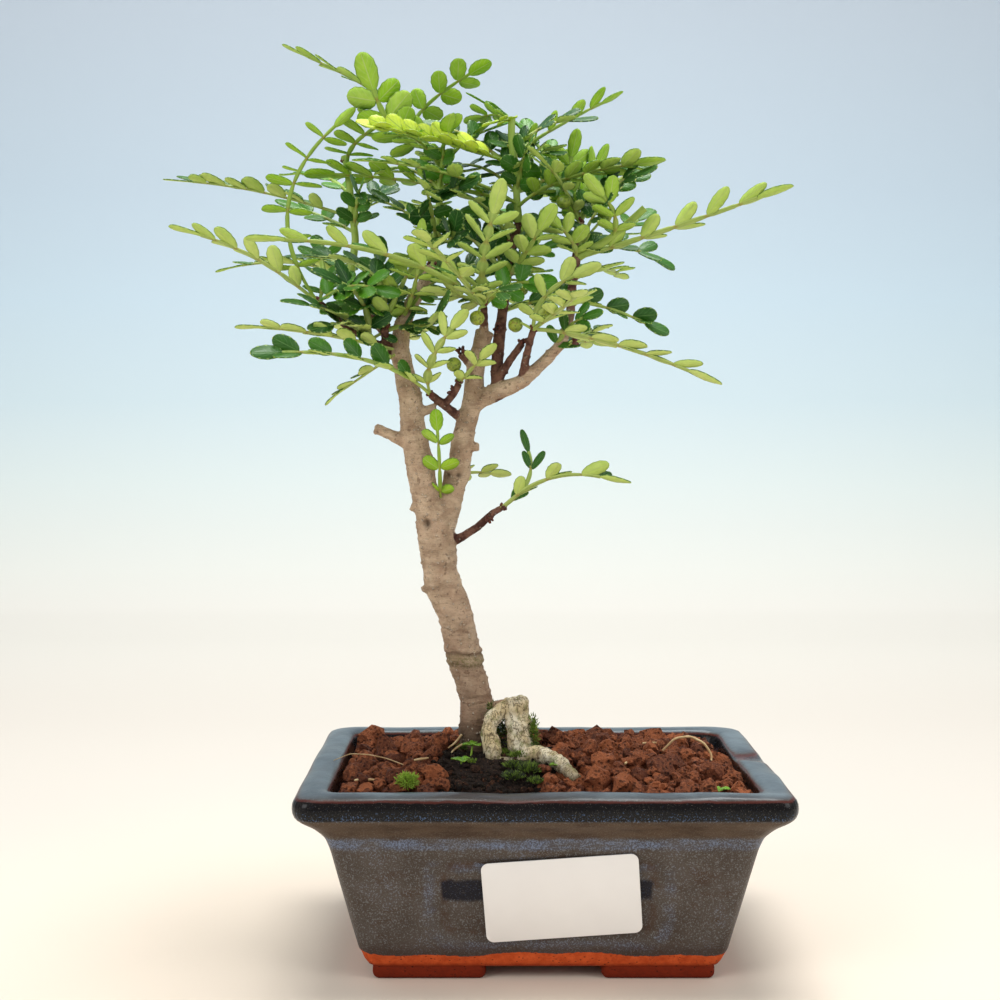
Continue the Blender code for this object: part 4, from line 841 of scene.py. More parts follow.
def tubeThrough(path, finish, sides=8):
    # a round stem along x, y, z, radius points
    line = bpy.data.curves.new("stem", "CURVE")
    line.dimensions, line.bevel_depth, line.bevel_resolution, line.use_fill_caps = "3D", mm, (sides - 4) // 2, True
    spline = line.splines.new("POLY")
    spline.points.add(len(path) - 1)
    for knot, (x, y, z, radius) in zip(spline.points, path):
        knot.co, knot.radius = (x * mm, y * mm, z * mm, 1), radius
    item = bpy.data.objects.new("stem", line)
    bpy.context.scene.collection.objects.link(item)
    pick(item)
    bpy.ops.object.convert(target="MESH")
    item = bpy.context.object
    item.data.materials.clear()
    item.data.materials.append(finish)
    item.data.shade_smooth()
    return item


def makeRachis(leaf):
    # the rib, widened by its wings between the joints
    count = max(8, round(leaf.run / 0.9))
    stations = np.linspace(0, leaf.run + 0.3, count)
    thick, thin = foliage["rachis"]
    radii = np.interp(stations / leaf.run, (0, 0.04, 0.2, 1), (thick * 1.3, thick * 1.05, thick, thin)) * leaf.size
    frames = [leaf.frame(station) for station in stations]
    rib = tubeThrough([(*spot, radius) for (spot, *_), radius in zip(frames, radii)], leafFinishes[2])
    places = points(rib) / mm
    middles = np.array([spot for spot, *_ in frames])
    lefts = np.array([left for _, _, left, _ in frames])
    nearest = np.argmin(np.linalg.norm(places[:, None] - middles[None], axis=2), axis=1)
    gap = np.abs(stations[:, None] - np.array(leaf.joints)[None]).min(axis=1)
    winged = np.clip(gap / 1.6, 0, 1) * (stations > leaf.joints[0])
    side = np.einsum("ij,ij->i", places - middles[nearest], lefts[nearest])
    widen = (leaf.wing - 1) * winged[nearest] + 0.12
    movePoints(rib, (places + lefts[nearest] * (side * widen)[:, None]) * mm)
    mark(rib, "joint", np.exp(-(gap[nearest] / 0.55) ** 2))
    mark(rib, "ridge", np.abs(side) / radii[nearest])
    return rib


def growLeaf(leaf, shade, patterns, rng):
    grown = [makeRachis(leaf)]
    for leaflet in leaf.leaflets:
        spot, forward, left, top = leaf.frame(leaflet["at"])
        sweep, fold = math.radians(leaflet["sweep"]), math.radians(leaflet["fold"])
        across = left * leaflet["side"] * math.cos(fold) + top * math.sin(fold)
        out = across * math.cos(sweep) + forward * math.sin(sweep)
        out = Vector((out.x, out.y, out.z * (1 - 0.8 * leaf.level))).normalized()
        normal = (top * math.cos(fold) - left * leaflet["side"] * math.sin(fold)).normalized()
        skyward = normal * (1 - leaf.level) + Vector((0, 0, 1)) * leaf.level
        normal = (skyward - out * skyward.dot(out)).normalized()
        normal = Matrix.Rotation(math.radians(rng.uniform(-20, 20)), 3, out) @ normal
        size = leaflet["size"]
        place = blade(spot + left * leaflet["side"] * 0.3, out, normal.cross(out), normal, size, size * leaflet["wide"])
        grown.append(placedCopy(rng.choice(patterns), place))
    spot, forward, left, top = leaf.frame(leaf.run)
    place = blade(spot, forward, top.cross(forward), top, leaf.size * 1.12, leaf.size * leaf.last)
    grown.append(placedCopy(rng.choice(patterns), place))
    for item in grown[1:]:
        mark(item, "tone", min(2, max(0, shade + rng.uniform(-0.18, 0.18))))
    mark(grown[0], "tone", shade)
    return grown


def makeBerry(spray, spot, rng):
    bud, spot = Vector(spray["seat"]), Vector(spot)
    bpy.ops.mesh.primitive_ico_sphere_add(subdivisions=3, radius=foliage["berry"] * mm)
    berry = bpy.context.object
    places = points(berry) / mm
    swell = 1 + 0.05 * roughly(places, 0.8, spot.x)
    places = places * swell[:, None]
    movePoints(berry, (places + np.array(spot)) * mm)
    berry.data.materials.append(leafFinishes[4])
    berry.data.shade_smooth()
    sag = (bud + spot) / 2 + Vector((rng.uniform(-1, 1), rng.uniform(-1, 1), 1))
    stalk = tubeThrough([(*bud, 0.5), (*sag, 0.36), (*(spot * 0.98 + sag * 0.02), 0.42)], leafFinishes[2], 6)
    mark(stalk, "tone", 0.5)
    return [berry, stalk]


def makeBuds(seat, toward, pattern, rng):
    seat, toward = Vector(seat), Vector(toward).normalized()
    side = toward.orthogonal().normalized()
    made = []
    for number in range(7):
        turn = Matrix.Rotation(number * 2.4 + rng.uniform(-0.4, 0.4), 3, toward)
        lean = turn @ side
        way = (toward + lean * rng.uniform(0.3, 1.1)).normalized()
        spot = seat + toward * rng.uniform(0, 0.9) + lean * rng.uniform(0.4, 1.0)
        size = foliage["bud"] * rng.uniform(0.7, 1.15)
        made.append(placedCopy(pattern, blade(spot, way * size, way.orthogonal().normalized() * 0.62 * size,
                                              way.cross(way.orthogonal()).normalized() * 0.62 * size, 1, 1)))
    return made


def makeSpray(number, node, spray, patterns, budPattern):
    rng = random.Random(500 + number)
    made = makeBuds(spray["seat"], spray["toward"], budPattern, rng)
    for owner, spot, toward in bareBuds:
        if owner == node:
            made += makeBuds(spot, toward, budPattern, rng)
    if "shoot" in spray:
        path = [(*spray["seat"], 1.2)] + [(*spot, 1.0) for spot in spray["shoot"]]
        shoot = tubeThrough(evenly(path, 1.2, 2), leafFinishes[2])
        mark(shoot, "tone", 0.6)
        made.append(shoot)
    for spot in spray.get("berries", ()):
        made += makeBerry(spray, spot, rng)
    for base, way, tip, pairs, face, size, *given in spray["leaves"] + innerRows(node, rng):
        style = given[0] if given else "open"
        # by height: leaves higher in the crown get more painted light shining through them
        shade = given[1] if len(given) > 1 else min(1, max(0, (tip[2] - 150) / 75 + rng.uniform(-0.2, 0.2)))
        leaf = Leaf(base or spray["seat"], way, tip, pairs, face, size, style, rng)
        made += growLeaf(leaf, shade, patterns, rng)
    whole = joinedPiece(node.replace("_leaves", "").replace("_leaf", "") + "_foliage", made)
    return settle(whole, "leaf", node)


def leafFinish(name, under):
    leaf = Finish(name, Specular_IOR_Level=0.2 if under else 0.4)
    spot = leaf.place()
    ageAndBacklight = leaf.attribute("tone")
    u, v, _ = leaf.parts(leaf.node("ShaderNodeUVMap", {}, {}, "UV"))
    side = abs(v - 0.5) * 2
    patch = leaf.noise(spot, 2.4, 3)
    # an old leaf, a bright one with painted light shining through it, and the yellow one
    old = (tone(180, 204, 92), tone(222, 234, 142)) if under else (tone(16, 60, 18), tone(44, 100, 30))
    # bright: painted light shining through the leaf from above
    bright = (tone(108, 166, 18), tone(172, 210, 50)) if under else (tone(60, 128, 18), tone(100, 162, 28))
    colour = leaf.mix(ageAndBacklight.least(1), leaf.mix(patch, *old), leaf.mix(patch, *bright))
    colour = leaf.mix((ageAndBacklight - 1).most(0), colour, tone(210, 232, 70))
    spread = leaf.maths("PINGPONG", u * 7 - side * 1.8, 0.5)
    veins = (1 - spread.step(0.02, 0.16)) * side.step(0.05, 0.3) * (1 - side.step(0.75, 0.95))
    middle = 1 - side.step(0.02, 0.09)
    pale = tone(190, 206, 132) if under else tone(112, 156, 84)
    colour = leaf.mix(veins * 0.22 + middle * 0.55, colour, pale)
    edge = side.step(0.86, 0.97)
    colour = leaf.mix(edge * (0.7 if under else 0.3), colour, tone(88, 122, 40))
    dots = (1 - leaf.maths("PINGPONG", u * 6, 0.5).step(0.08, 0.2)) * side.step(0.8, 0.9)
    colour = leaf.mix(dots * (0.3 if under else 0.65), colour, tone(176, 204, 120))
    height = leaf.noise(spot, 0.8, 4) * 0.7 + (veins * 0.4 + middle) * (0.5 if under else -0.5)
    rough = (0.5 if under else 0.3) + patch * 0.16
    return leaf.wear(Base_Color=colour, Roughness=rough, Normal=leaf.bump(height, 0.2, 0.8))


def stemFinish():
    stem = Finish("greenStem", Specular_IOR_Level=0.45)
    spot = stem.place()
    ageAndBacklight = stem.attribute("tone").least(1)
    colour = stem.mix(ageAndBacklight, tone(180, 196, 106), tone(146, 178, 58))
    colour = stem.mix(stem.noise(spot, 3, 3).step(0.45, 0.7) * 0.35, colour, tone(112, 148, 50))
    ridge = stem.attribute("ridge")
    colour = stem.mix((1 - abs(ridge - 0.55).step(0.1, 0.4)) * 0.3, colour, tone(104, 138, 44))
    colour = stem.mix(stem.attribute("joint") * 0.6, colour, tone(150, 104, 44))
    return stem.wear(Base_Color=colour, Roughness=0.42 + stem.noise(spot, 1.2) * 0.12,
                     Normal=stem.bump(stem.noise(spot, 0.5, 3), 0.08, 0.6))


def budFinish():
    bud = Finish("budScale")
    spot = bud.place()
    colour = bud.mix(bud.noise(spot, 0.9, 3).step(0.3, 0.7), tone(52, 22, 16), tone(112, 52, 34))
    return bud.wear(Base_Color=colour, Roughness=0.4 + bud.noise(spot, 1) * 0.2,
                    Normal=bud.bump(bud.noise(spot, 0.5, 4), 0.12))


def berryFinish():
    berry = Finish("berrySkin", Specular_IOR_Level=0.5)
    spot = berry.place()
    gland = berry.cells(spot, 0.75)
    colour = berry.mix(berry.noise(spot, 3, 3).step(0.35, 0.65), tone(108, 136, 38), tone(164, 178, 62))
    colour = berry.mix((1 - gland).step(0.55, 0.8) * 0.55, colour, tone(60, 72, 24))
    colour = berry.mix(berry.noise(spot, 1.7, 2).step(0.58, 0.7) * 0.5, colour, tone(120, 84, 40))
    return berry.wear(Base_Color=colour, Roughness=0.36 + gland * 0.15, Normal=berry.bump(gland, 0.3, 0.7))


def makeFoliage():
    rng = random.Random(21)
    patterns = [makeLeafletPattern(rng) for _ in range(foliage["patterns"])]
    bpy.ops.mesh.primitive_ico_sphere_add(subdivisions=1, radius=mm)
    budPattern = bpy.context.object
    budPattern.data.materials.append(leafFinishes[3])
    budPattern.data.shade_smooth()
    for number, (node, spray) in enumerate(sprays.items()):
        makeSpray(number, node, spray, patterns, budPattern)
    for pattern in [*patterns, budPattern]:
        bpy.data.objects.remove(pattern)


leafFinishes = [leafFinish("leafTop", False), leafFinish("leafUnder", True), stemFinish(), budFinish(), berryFinish()]

# Wood: stems through x, y, z, radius points, grown into one another
wood = {
    "voxel": 0.35, "sides": 12, "lenticels": 420,
    # knots and holes: place, width, height (below 0 a hole)
    "knots": [
        ((-30.2, -2.5, 110.8), 1.3, -1.4), ((-24.4, -0.3, 123.8), 0.9, -0.6),
        ((-21.5, -0.8, 123.5), 0.9, -0.5), ((-29.2, -4, 108.9), 1.6, 0.5), ((-32.2, -4.4, 121), 1.7, 0.7),
        ((-23.8, 0.2, 124.4), 1.5, 0.7), ((-19.6, -1.2, 121.6), 1.5, 0.6), ((-21.4, -1.6, 125.8), 1.2, 0.5),
        ((-36.4, -5.6, 146.8), 1.5, 0.6), ((-31, -4.6, 100.4), 1.4, 0.5), ((-24.4, -0.8, 86.2), 1.7, 0.4),
        ((-28.6, -1.6, 96.4), 1.6, 0.4), ((-19.4, 0.6, 66.4), 1.7, 0.4), ((-15.2, -3.6, 160.4), 1.3, 0.5),
        ((-13.4, 0.9, 68.9), 1.5, 0.4), ((-36.9, -5.2, 158.6), 1.2, 0.5), ((-19.2, -2, 137.6), 1.3, 0.5)],
    "rings": [(75.6, 0.28), (72.6, 0.22), (82.2, 0.08), (93.6, 0.1), (64.2, 0.1), (103, 0.1), (99.4, 0.08)],
    "stems": {
        "trunk": ("old", [
            (-16.5, 5, 37, 4.9), (-16.5, 5, 50, 5.3), (-16.7, 5, 56, 4.7), (-16.7, 5, 62, 4.5), (-18.3, 5, 68, 4.5),
            (-20, 5, 74, 4.9), (-21.2, 4.5, 79, 4.6), (-22.7, 4, 86.7, 4.7), (-25.9, 4, 93.4, 5), (-26.7, 3.5, 98, 4.6),
            (-27.2, 3, 103.4, 5), (-28, 2, 111.5, 5.3), (-29.2, 1, 116, 4.2)]),
        "left leader": ("old", [
            (-28, 2, 109, 4.2), (-30.8, 0, 119.7, 3.8), (-32.1, -1, 127.7, 3.8), (-33.7, -2, 135.7, 3.5),
            (-34.1, -3, 143.6, 3.1), (-35.5, -3, 148.9, 2.9), (-37.1, -3, 156.8, 2.6), (-36.6, -2, 163.5, 2.3),
            (-33.7, -1, 170.3, 2), (-30.6, 0, 174.9, 1.8), (-28.7, 0, 179.4, 1.5)]),
        "right leader": ("old", [
            (-27.5, 3, 108, 4.2), (-25.1, 3, 114.2, 4), (-22.8, 3, 121, 3.1), (-22.2, 3, 123.8, 4), (-21.5, 2.5, 126.5, 3.2),
            (-20.5, 2, 133, 3.1), (-19.4, 1, 138.3, 2.9), (-17.5, 0, 145, 2.8), (-17.2, 0, 151.7, 2.4),
            (-15.6, -1, 158.3, 2.3), (-14.6, -2, 161.9, 2.5)]),
        "right limb": ("limb", [
            (-18.6, 0.5, 142.6, 2.8), (-11.9, -2, 145.5, 2.4), (-4.8, -4, 148.3, 1.9), (1.3, -5, 153.8, 1.6),
            (5.7, -6, 158.5, 1.5), (7.8, -6, 165.8, 1.3), (8.4, -5, 173.8, 1.2), (9.7, -4, 181.8, 1.3),
            (10.5, -4, 190.5, 1.4)]),
        "upright branch": ("young", [
            (-11.2, -2, 144.5, 1.8), (-11.4, 0, 153, 1.7), (-10.6, 1, 162.4, 1.6), (-9.2, 2, 171.9, 1.4),
            (-8.4, 2, 180.7, 1.3), (-7.1, 2, 187.2, 1.2), (-5.5, 1, 191.3, 1.1)]),
        "cut stub": ("old", [(-34.5, -1.5, 132, 2), (-39, -3, 134.2, 1.5), (-43.6, -4, 136.1, 1.5)]),
        "left knob": ("old", [(-30, 1, 114, 1.6), (-34.3, 0.5, 115.5, 1.3)]),
        "trunk spur": ("old", [(-27, 3, 93, 1.5), (-31.4, 2, 93, 0.9)]),
        "small stub": ("old", [(-33, -3, 140, 1.6), (-27.6, -4, 141.6, 1.1)]),
        "leader knob": ("old", [(-20.5, 2, 131, 1.5), (-16.2, 1, 131.2, 1.2)]),
        "leader stub": ("young", [(-17.4, 0, 152.6, 1.7), (-20.9, -1, 156.2, 1.4)]),
        "twig by limb": ("young", [(-11.2, -2, 149, 1.3), (-8, -4, 154, 1.1), (-4.7, -6, 158.5, 1)]),
        "forked twig": ("young", [(-4.8, -4, 149, 1.3), (-3.4, -8, 156.5, 1), (-2, -11, 161.7, 1)]),
        "crossing twig": ("young", [(-20.5, 1, 138.5, 1.3), (-25.6, -4, 142.4, 1.2), (-28.8, -6, 144.9, 1.1)]),
        "hooked twig": ("young", [(-25.4, -4, 142.2, 1.1), (-22.7, -7, 145.1, 1), (-21.3, -8, 147.8, 1)]),
        "left twig": ("young", [
            (-36.6, -3, 154, 1.4), (-44.9, -5, 159.2, 1.2), (-51.2, -8, 163.3, 1.1), (-54.9, -9, 166.6, 1.1),
            (-58, -10, 168.7, 1)]),
        "back twig": ("young", [
            (-36.8, -2.5, 155.5, 1.3), (-41.9, 2, 161.7, 1.1), (-47.1, 6, 169.6, 1), (-51.5, 10, 177.3, 0.9)]),
        "front twig": ("young", [(-40, -3.8, 156.4, 1.3), (-40.8, -4.6, 159.6, 1.1), (-40.9, -5.2, 162.4, 1.1)]),
        "top twig": ("young", [(-14.9, -1.6, 160, 1.4), (-14.8, -5, 164.5, 1.1), (-14.8, -8, 168, 1)]),
        "low twig": ("young", [
            (-25, 3, 104.5, 1.3), (-16.4, 0, 109.8, 1.1), (-12.7, -2, 113.6, 1), (-10.1, -3, 115, 0.9)]),
        "root arch": ("old", [(-15.6, 3.6, 60.5, 1.9), (-12.2, 0.8, 61.6, 1.6), (-9.4, -1.6, 62.6, 1.7)]),
        "left root": ("root", [
            (-7.8, -2.4, 63, 2), (-11.4, -3.2, 60.9, 2), (-13.6, -4.6, 58, 2.1), (-13.3, -5.8, 55, 2.2),
            (-12.6, -7.3, 51.4, 2.4), (-12.6, -8, 46.8, 2.2)]),
        "right root": ("root", [
            (-6.4, -2.4, 64.7, 3.1), (-5.9, -3.4, 59.1, 3.3), (-5.3, -4.8, 53.8, 3.3), (-4.9, -6, 46.8, 2.6)]),
        "long root": ("root", [
            (-12.2, -8.6, 48.6, 1.2), (-6.4, -9.4, 49.4, 1.5), (-1.2, -9, 51.4, 2.1), (3.2, -15, 51, 2),
            (6, -20.5, 49.9, 1.7), (8.4, -26, 48.4, 1.3)]),
    },
}


def makeWood():
    rng = random.Random(8)
    stations, made = [], []
    for name, (kind, keys) in wood["stems"].items():
        path = evenly(keys, 0.9, 3)
        for x, y, z, radius in path.tolist():
            inside = [1 for *spot, thick, other in stations if other == "old" and math.dist(spot, (x, y, z)) < thick + 0.7]
            if kind in ("old", "root") or not inside:
                stations.append((x, y, z, radius, kind))
        wobble = 1 + 0.07 * roughly(path[:, :3], 3.5, len(made))
        grown = [(*spot, radius * more) for (*spot, radius), more in zip(path.tolist(), wobble)]
        made.append(tubeThrough(grown, barkFinish, wood["sides"]))
    trunk = joinedPiece("trunk_and_branches", made)
    applied(trunk, "REMESH", mode="VOXEL", voxel_size=wood["voxel"] * mm)
    applied(trunk, "SMOOTH", factor=0.5, iterations=5)
    places = points(trunk) / mm
    tree = kdtree.KDTree(len(stations))
    for number, station in enumerate(stations):
        tree.insert(station[:3], number)
    tree.balance()
    old, root, radii = np.empty(len(places)), np.empty(len(places)), np.empty(len(places))
    for number, place in enumerate(places):
        near = [(gap - stations[index][3], stations[index]) for _, index, gap in tree.find_n(place, 5)]
        radius, kind = min(near, key=lambda found: found[0])[1][3:]
        radii[number] = radius
        old[number] = {"old": 1, "young": 0, "root": 1}.get(kind, min(1, max(0, (radius - 1.1) / 0.6)))
        root[number] = kind == "root"
    ends = np.array([edge.vertices for edge in trunk.data.edges])
    for _ in range(5):
        for values in (old, root):
            total, count = values.copy(), np.ones(len(values))
            for a, b in (ends.T, ends.T[::-1]):
                np.add.at(total, a, values[b])
                np.add.at(count, a, 1)
            values[:] = total / count
    normals = np.empty(len(places) * 3)
    trunk.data.vertices.foreach_get("normal", normals)
    normals = normals.reshape(-1, 3)
    share = np.clip(radii / 4.5, 0.25, 1)
    rise = 0.34 * share * roughly(places, 3.6, 3) + 0.12 * roughly(places, 1.2, 5)
    rise += 0.16 * share * roughly(places * (0.4, 0.4, 1.9), 1.5, 9)
    rise += root * (0.45 * roughly(places, 2.2, 11) + 0.3 * roughly(places * (1, 1, 0.35), 1.2, 14) + 0.1)
    spots = kdtree.KDTree(wood["lenticels"])
    widths = [rng.uniform(0.26, 0.42) for _ in range(wood["lenticels"])]
    for number in range(wood["lenticels"]):
        spots.insert(places[rng.randrange(len(places))], number)
    spots.balance()
    near = np.array([gap / widths[number] for _, number, gap in map(spots.find, places)])
    lenticel = np.exp(-near ** 2)
    rise += lenticel * 0.36 * (1 - root)
    scarAndRecessShade = np.zeros(len(places))
    for spot, width, height in wood["knots"]:
        gap = np.linalg.norm(places - spot, axis=1) / width
        rise += height * np.exp(-gap ** 2)
        # holes darkened inside as painted shade; raised knots get a darker scar
        middle, spread, depth = (0, 0.9, 1.2) if height < 0 else (0.2, 0.7, 0.4)
        dark = np.exp(-((gap - middle) / spread) ** 2) * (1 if height < 0 else 0.5 + 0.5 * roughly(places, 1.3, 4))
        scarAndRecessShade = np.maximum(scarAndRecessShade, np.clip(dark * depth, 0, 1))
    for level, depth in wood["rings"]:
        wavy = level + 0.9 * roughly(places, 5, level)
        ring = np.exp(-((places[:, 2] - wavy) / 0.45) ** 2) * (old > 0.8)
        rise += depth * (ring * -1 + np.exp(-((places[:, 2] - wavy - 0.9) / 0.6) ** 2) * (old > 0.8) * 0.8)
        # the ring's groove darkened: painted shade in the groove
        scarAndRecessShade = np.maximum(scarAndRecessShade, ring * min(1, depth * 2))
    movePoints(trunk, (places + normals * rise[:, None]) * mm)
    mark(trunk, "old", old)
    mark(trunk, "root", root)
    mark(trunk, "lenticel", lenticel)
    mark(trunk, "scarAndRecessShade", scarAndRecessShade)
    applied(trunk, "SMOOTH", factor=0.3, iterations=1)
    pick(trunk)
    bpy.ops.object.shade_smooth()
    return settle(trunk, "bark", "wood")


def makeBarkFinish():
    bark = Finish("bark", Specular_IOR_Level=0.25)
    spot = bark.place()
    x, y, z = bark.parts(spot)
    old, root = bark.attribute("old"), bark.attribute("root")
    lenticel, scarAndRecessShade = bark.attribute("lenticel"), bark.attribute("scarAndRecessShade")
    rings = bark.noise(bark.stretched(spot, (0.3, 0.3, 1.3)), 1.3, 5, 0.62)
    patch = bark.noise(spot, 5, 4)
    fine = bark.noise(spot, 0.7, 5, 0.68)
    colour = bark.mix(patch.step(0.3, 0.7), tone(170, 142, 116), tone(216, 190, 160))
    colour = bark.mix(rings.step(0.5, 0.7) * 0.4, colour, tone(136, 106, 84))
    colour = bark.mix(bark.noise(spot, 9, 2).step(0.5, 0.7) * 0.4, colour, tone(186, 150, 124))
    colour = bark.mix(fine.step(0.56, 0.7) * 0.4, colour, tone(226, 212, 192))
    wrinkle = bark.noise(bark.stretched(spot, (0.22, 0.22, 1.7)), 1.5, 4, 0.6)
    colour = bark.mix((1 - abs(wrinkle - 0.5).step(0.004, 0.028)) * fine.step(0.45, 0.6) * 0.4, colour, tone(98, 72, 54))
    colour = bark.mix((bark.noise(spot, 1.5, 4, 0.6) - 0.6).step(0, 0.06) * 0.6, colour, tone(104, 78, 58))
    # darker and browner towards the ground, with a greenish cracked band at the old ring
    colour = bark.mix((1 - z.step(56, 92)) * 0.5, colour, tone(126, 90, 68))
    colour = bark.mix((1 - (z + patch * 8).step(55, 66)) * 0.75, colour, tone(46, 36, 22))
    ringBand = (1 - abs(z - 74.6 + patch * 1.5).step(0.8, 2.6))
    colour = bark.mix(ringBand * fine.step(0.35, 0.6) * 0.7, colour, tone(120, 112, 66))
    twig = bark.mix(bark.noise(spot, 2.2, 4).step(0.35, 0.65), tone(76, 46, 38), tone(128, 92, 76))
    colour = bark.mix(old.step(0.2, 0.7), twig, colour)
    # roots: cream skin split by dark furrows, moss in the hollows
    furrow = bark.noise(bark.stretched(spot, (1, 1, 0.4)), 1.5, 4, 0.6)
    pale = bark.mix(patch.step(0.35, 0.65), tone(220, 198, 154), tone(252, 240, 212))
    pale = bark.mix(fine.step(0.5, 0.66) * 0.6, pale, tone(164, 142, 92))
    pale = bark.mix((1 - abs(furrow - 0.5).step(0.01, 0.035)) * 0.75, pale, tone(84, 66, 38))
    pale = bark.mix(bark.noise(spot, 3.4, 3).step(0.56, 0.68) * 0.5, pale, tone(120, 128, 62))
    pale = bark.mix((1 - z.step(50, 53)) * 0.5, pale, tone(70, 54, 36))
    hollow = bark.noise(spot, 2.1, 3, 0.6)
    pale = bark.mix((hollow - 0.55).step(0, 0.12) * 0.6, pale, tone(112, 116, 58))
    colour = bark.mix(root.step(0.35, 0.65), colour, pale)
    colour = bark.mix((1 - fine).step(0.58, 0.7) * (0.5 - root * 0.3), colour, tone(74, 56, 42))
    dots = (1 - bark.cells(bark.stretched(spot, (1, 1, 0.8)), 1.7).step(0.1, 0.19)).most(lenticel.step(0.3, 0.8) * 0.8)
    colour = bark.mix(dots * (1 - root) * (0.3 + old * 0.35), colour, tone(232, 214, 190))
    # knot scars, with painted shade in the holes and ring grooves
    colour = bark.mix(scarAndRecessShade * 0.8, colour, tone(62, 44, 32))
    lumps = fine * 0.9 + rings * 0.7 + wrinkle * 0.6 + dots * 1.1 - (1 - bark.cells(spot, 0.9)).step(0.8, 0.95) * 0.4
    return bark.wear(Base_Color=colour, Roughness=0.7 + fine * 0.2, Normal=bark.bump(lumps, 0.5, 1.0))


barkFinish = makeBarkFinish()


# Ground: dark beds, the one under the granules tinted dark as painted shade in their gaps, rough red granules over it
# and a bare patch of soil round the trunk
ground = {
    "half": (51.6, 36.2), "corner": 4, "base": 44.2, "rise": 6.4, "moundHalf": (52, 37),
    "patch": ((-12, -9.5), (16.5, 23)), "grain": (3, 8.2), "layers": (430, 230, 150), "floor": 8.3,
}


def groundHeight(x, y):
    moundX, moundY = ground["moundHalf"]
    return ground["base"] + ground["rise"] * np.maximum(0, 1 - (x / moundX) ** 2) * np.maximum(0, 1 - (y / moundY) ** 2)


def patchReach(x, y):
    # 1 on the edge of the bare patch, less inside it
    (middleX, middleY), (wide, deep) = ground["patch"]
    return np.hypot((x - middleX) / wide, (y - middleY) / deep)


def groundDisc(name, inner, outer, low, finish):
    # rings from the patch's middle, or its edge, out to the wall
    turns = np.linspace(0, 2 * math.pi, 145)[:-1]
    (middleX, middleY), (wide, deep) = ground["patch"]
    edge = np.stack([middleX + wide * np.cos(turns), middleY + deep * np.sin(turns)], axis=1)
    halfX, halfY = ground["half"]
    bend = np.maximum(np.abs(np.cos(turns)) ** 7 + np.abs(np.sin(turns)) ** 7, 1e-9) ** (-1 / 7)
    wall = np.stack([halfX * np.cos(turns) * bend, halfY * np.sin(turns) * bend], axis=1)
    rings = []
    for share in inner:
        rings.append(np.array([middleX, middleY]) + (edge - (middleX, middleY)) * share)
    for share in outer:
        rings.append(edge + (wall - edge) * share)
    bpy.ops.mesh.primitive_grid_add(x_subdivisions=144, y_subdivisions=len(rings) - 1, size=2)
    bed = bpy.context.object
    bed.name = bed.data.name = name
    spots = points(bed)
    column = np.round((spots[:, 0] + 1) * 72).astype(int) % 144
    row = np.round((spots[:, 1] + 1) / 2 * (len(rings) - 1)).astype(int)
    flat = np.array(rings)[row, column]
    rise = groundHeight(flat[:, 0], flat[:, 1]) - low
    movePoints(bed, np.column_stack([flat, rise]) * mm)
    editing(bed)
    bpy.ops.mesh.select_all(action="SELECT")
    bpy.ops.mesh.remove_doubles(threshold=0.02 * mm)
    bpy.ops.object.mode_set(mode="OBJECT")
    bed.data.materials.append(finish)
    return bed


def makeSoil():
    finish = earthFinish("darkSoil", tone(42, 31, 22), tone(13, 9, 7), 0.2)
    bed = groundDisc("soil_patch_and_bed", (0.02, 0.1, 0.2, 0.3, 0.4, 0.5, 0.6, 0.7, 0.8, 0.9), (0, 0.1, 1), 0, finish)
    spots = points(bed) / mm
    reach = patchReach(spots[:, 0], spots[:, 1])
    drop = np.where(reach > 1.02, 4.9, 0)
    rough = 0.7 * roughly(spots, 5, 2) + 0.45 * roughly(spots, 1.9, 4)
    spots[:, 2] += np.where(reach < 0.97, rough, 0) - drop - np.where(np.abs(reach - 1) < 0.05, 1.0, 0)
    movePoints(bed, spots * mm)
    editing(bed, "EDGE")
    bpy.ops.mesh.select_non_manifold(extend=False)
    bpy.ops.object.mode_set(mode="OBJECT")
    outwards(bed)
    made = [bed]
    rng = random.Random(31)
    crumbs = [makeGrain(rng, 3, finish) for _ in range(3)]
    for _ in range(260):
        turn, reach = rng.uniform(0, 2 * math.pi), math.sqrt(rng.random()) * 0.98
        (middleX, middleY), (wide, deep) = ground["patch"]
        x, y = middleX + wide * reach * math.cos(turn), middleY + deep * reach * math.sin(turn)
        size = rng.uniform(0.5, 1.7) if rng.random() < 0.8 else rng.uniform(1.7, 2.8)
        made.append(grainAt(crumbs, (x, y, float(groundHeight(x, y)) + 0.15 * size), size, rng))
    for _ in range(240):
        x, y, size = rng.uniform(-25.5, 0.5), rng.uniform(-34.5, -20), rng.uniform(0.8, 2.6)
        made.append(grainAt(crumbs, (x, y, float(groundHeight(x, y)) - 0.5 + 0.1 * size), size, rng))
    for crumb in crumbs:
        bpy.data.objects.remove(crumb)
    return settle(joinedPiece("soil_with_crumbs", made), "soil", "soil")


def makeGrain(rng, seed, finish):
    # a rough granule about 1 mm across
    bpy.ops.mesh.primitive_ico_sphere_add(subdivisions=2, radius=0.5)
    grain = bpy.context.object
    spots = points(grain)
    turn = rng.uniform(0, 40) + seed
    spots = spots * (1 + 0.5 * roughly(spots, 0.5, turn) + 0.42 * roughly(spots, 0.24, turn))[:, None]
    spots = spots * (1.06, rng.uniform(0.72, 0.98), rng.uniform(0.62, 0.9))
    movePoints(grain, spots * mm)
    grain.data.materials.append(finish)
    smooth(grain, 32)
    return grain


def grainAt(grains, spot, size, rng):
    turned = Matrix.Rotation(rng.uniform(0, 6.283), 4, Vector((rng.gauss(0, 1), rng.gauss(0, 1), rng.gauss(0, 1))))
    place = Matrix.Translation(Vector(spot) * mm) @ turned @ Matrix.Scale(size, 4)
    item = placedCopy(rng.choice(grains), place)
    mark(item, "tint", rng.random())
    return item


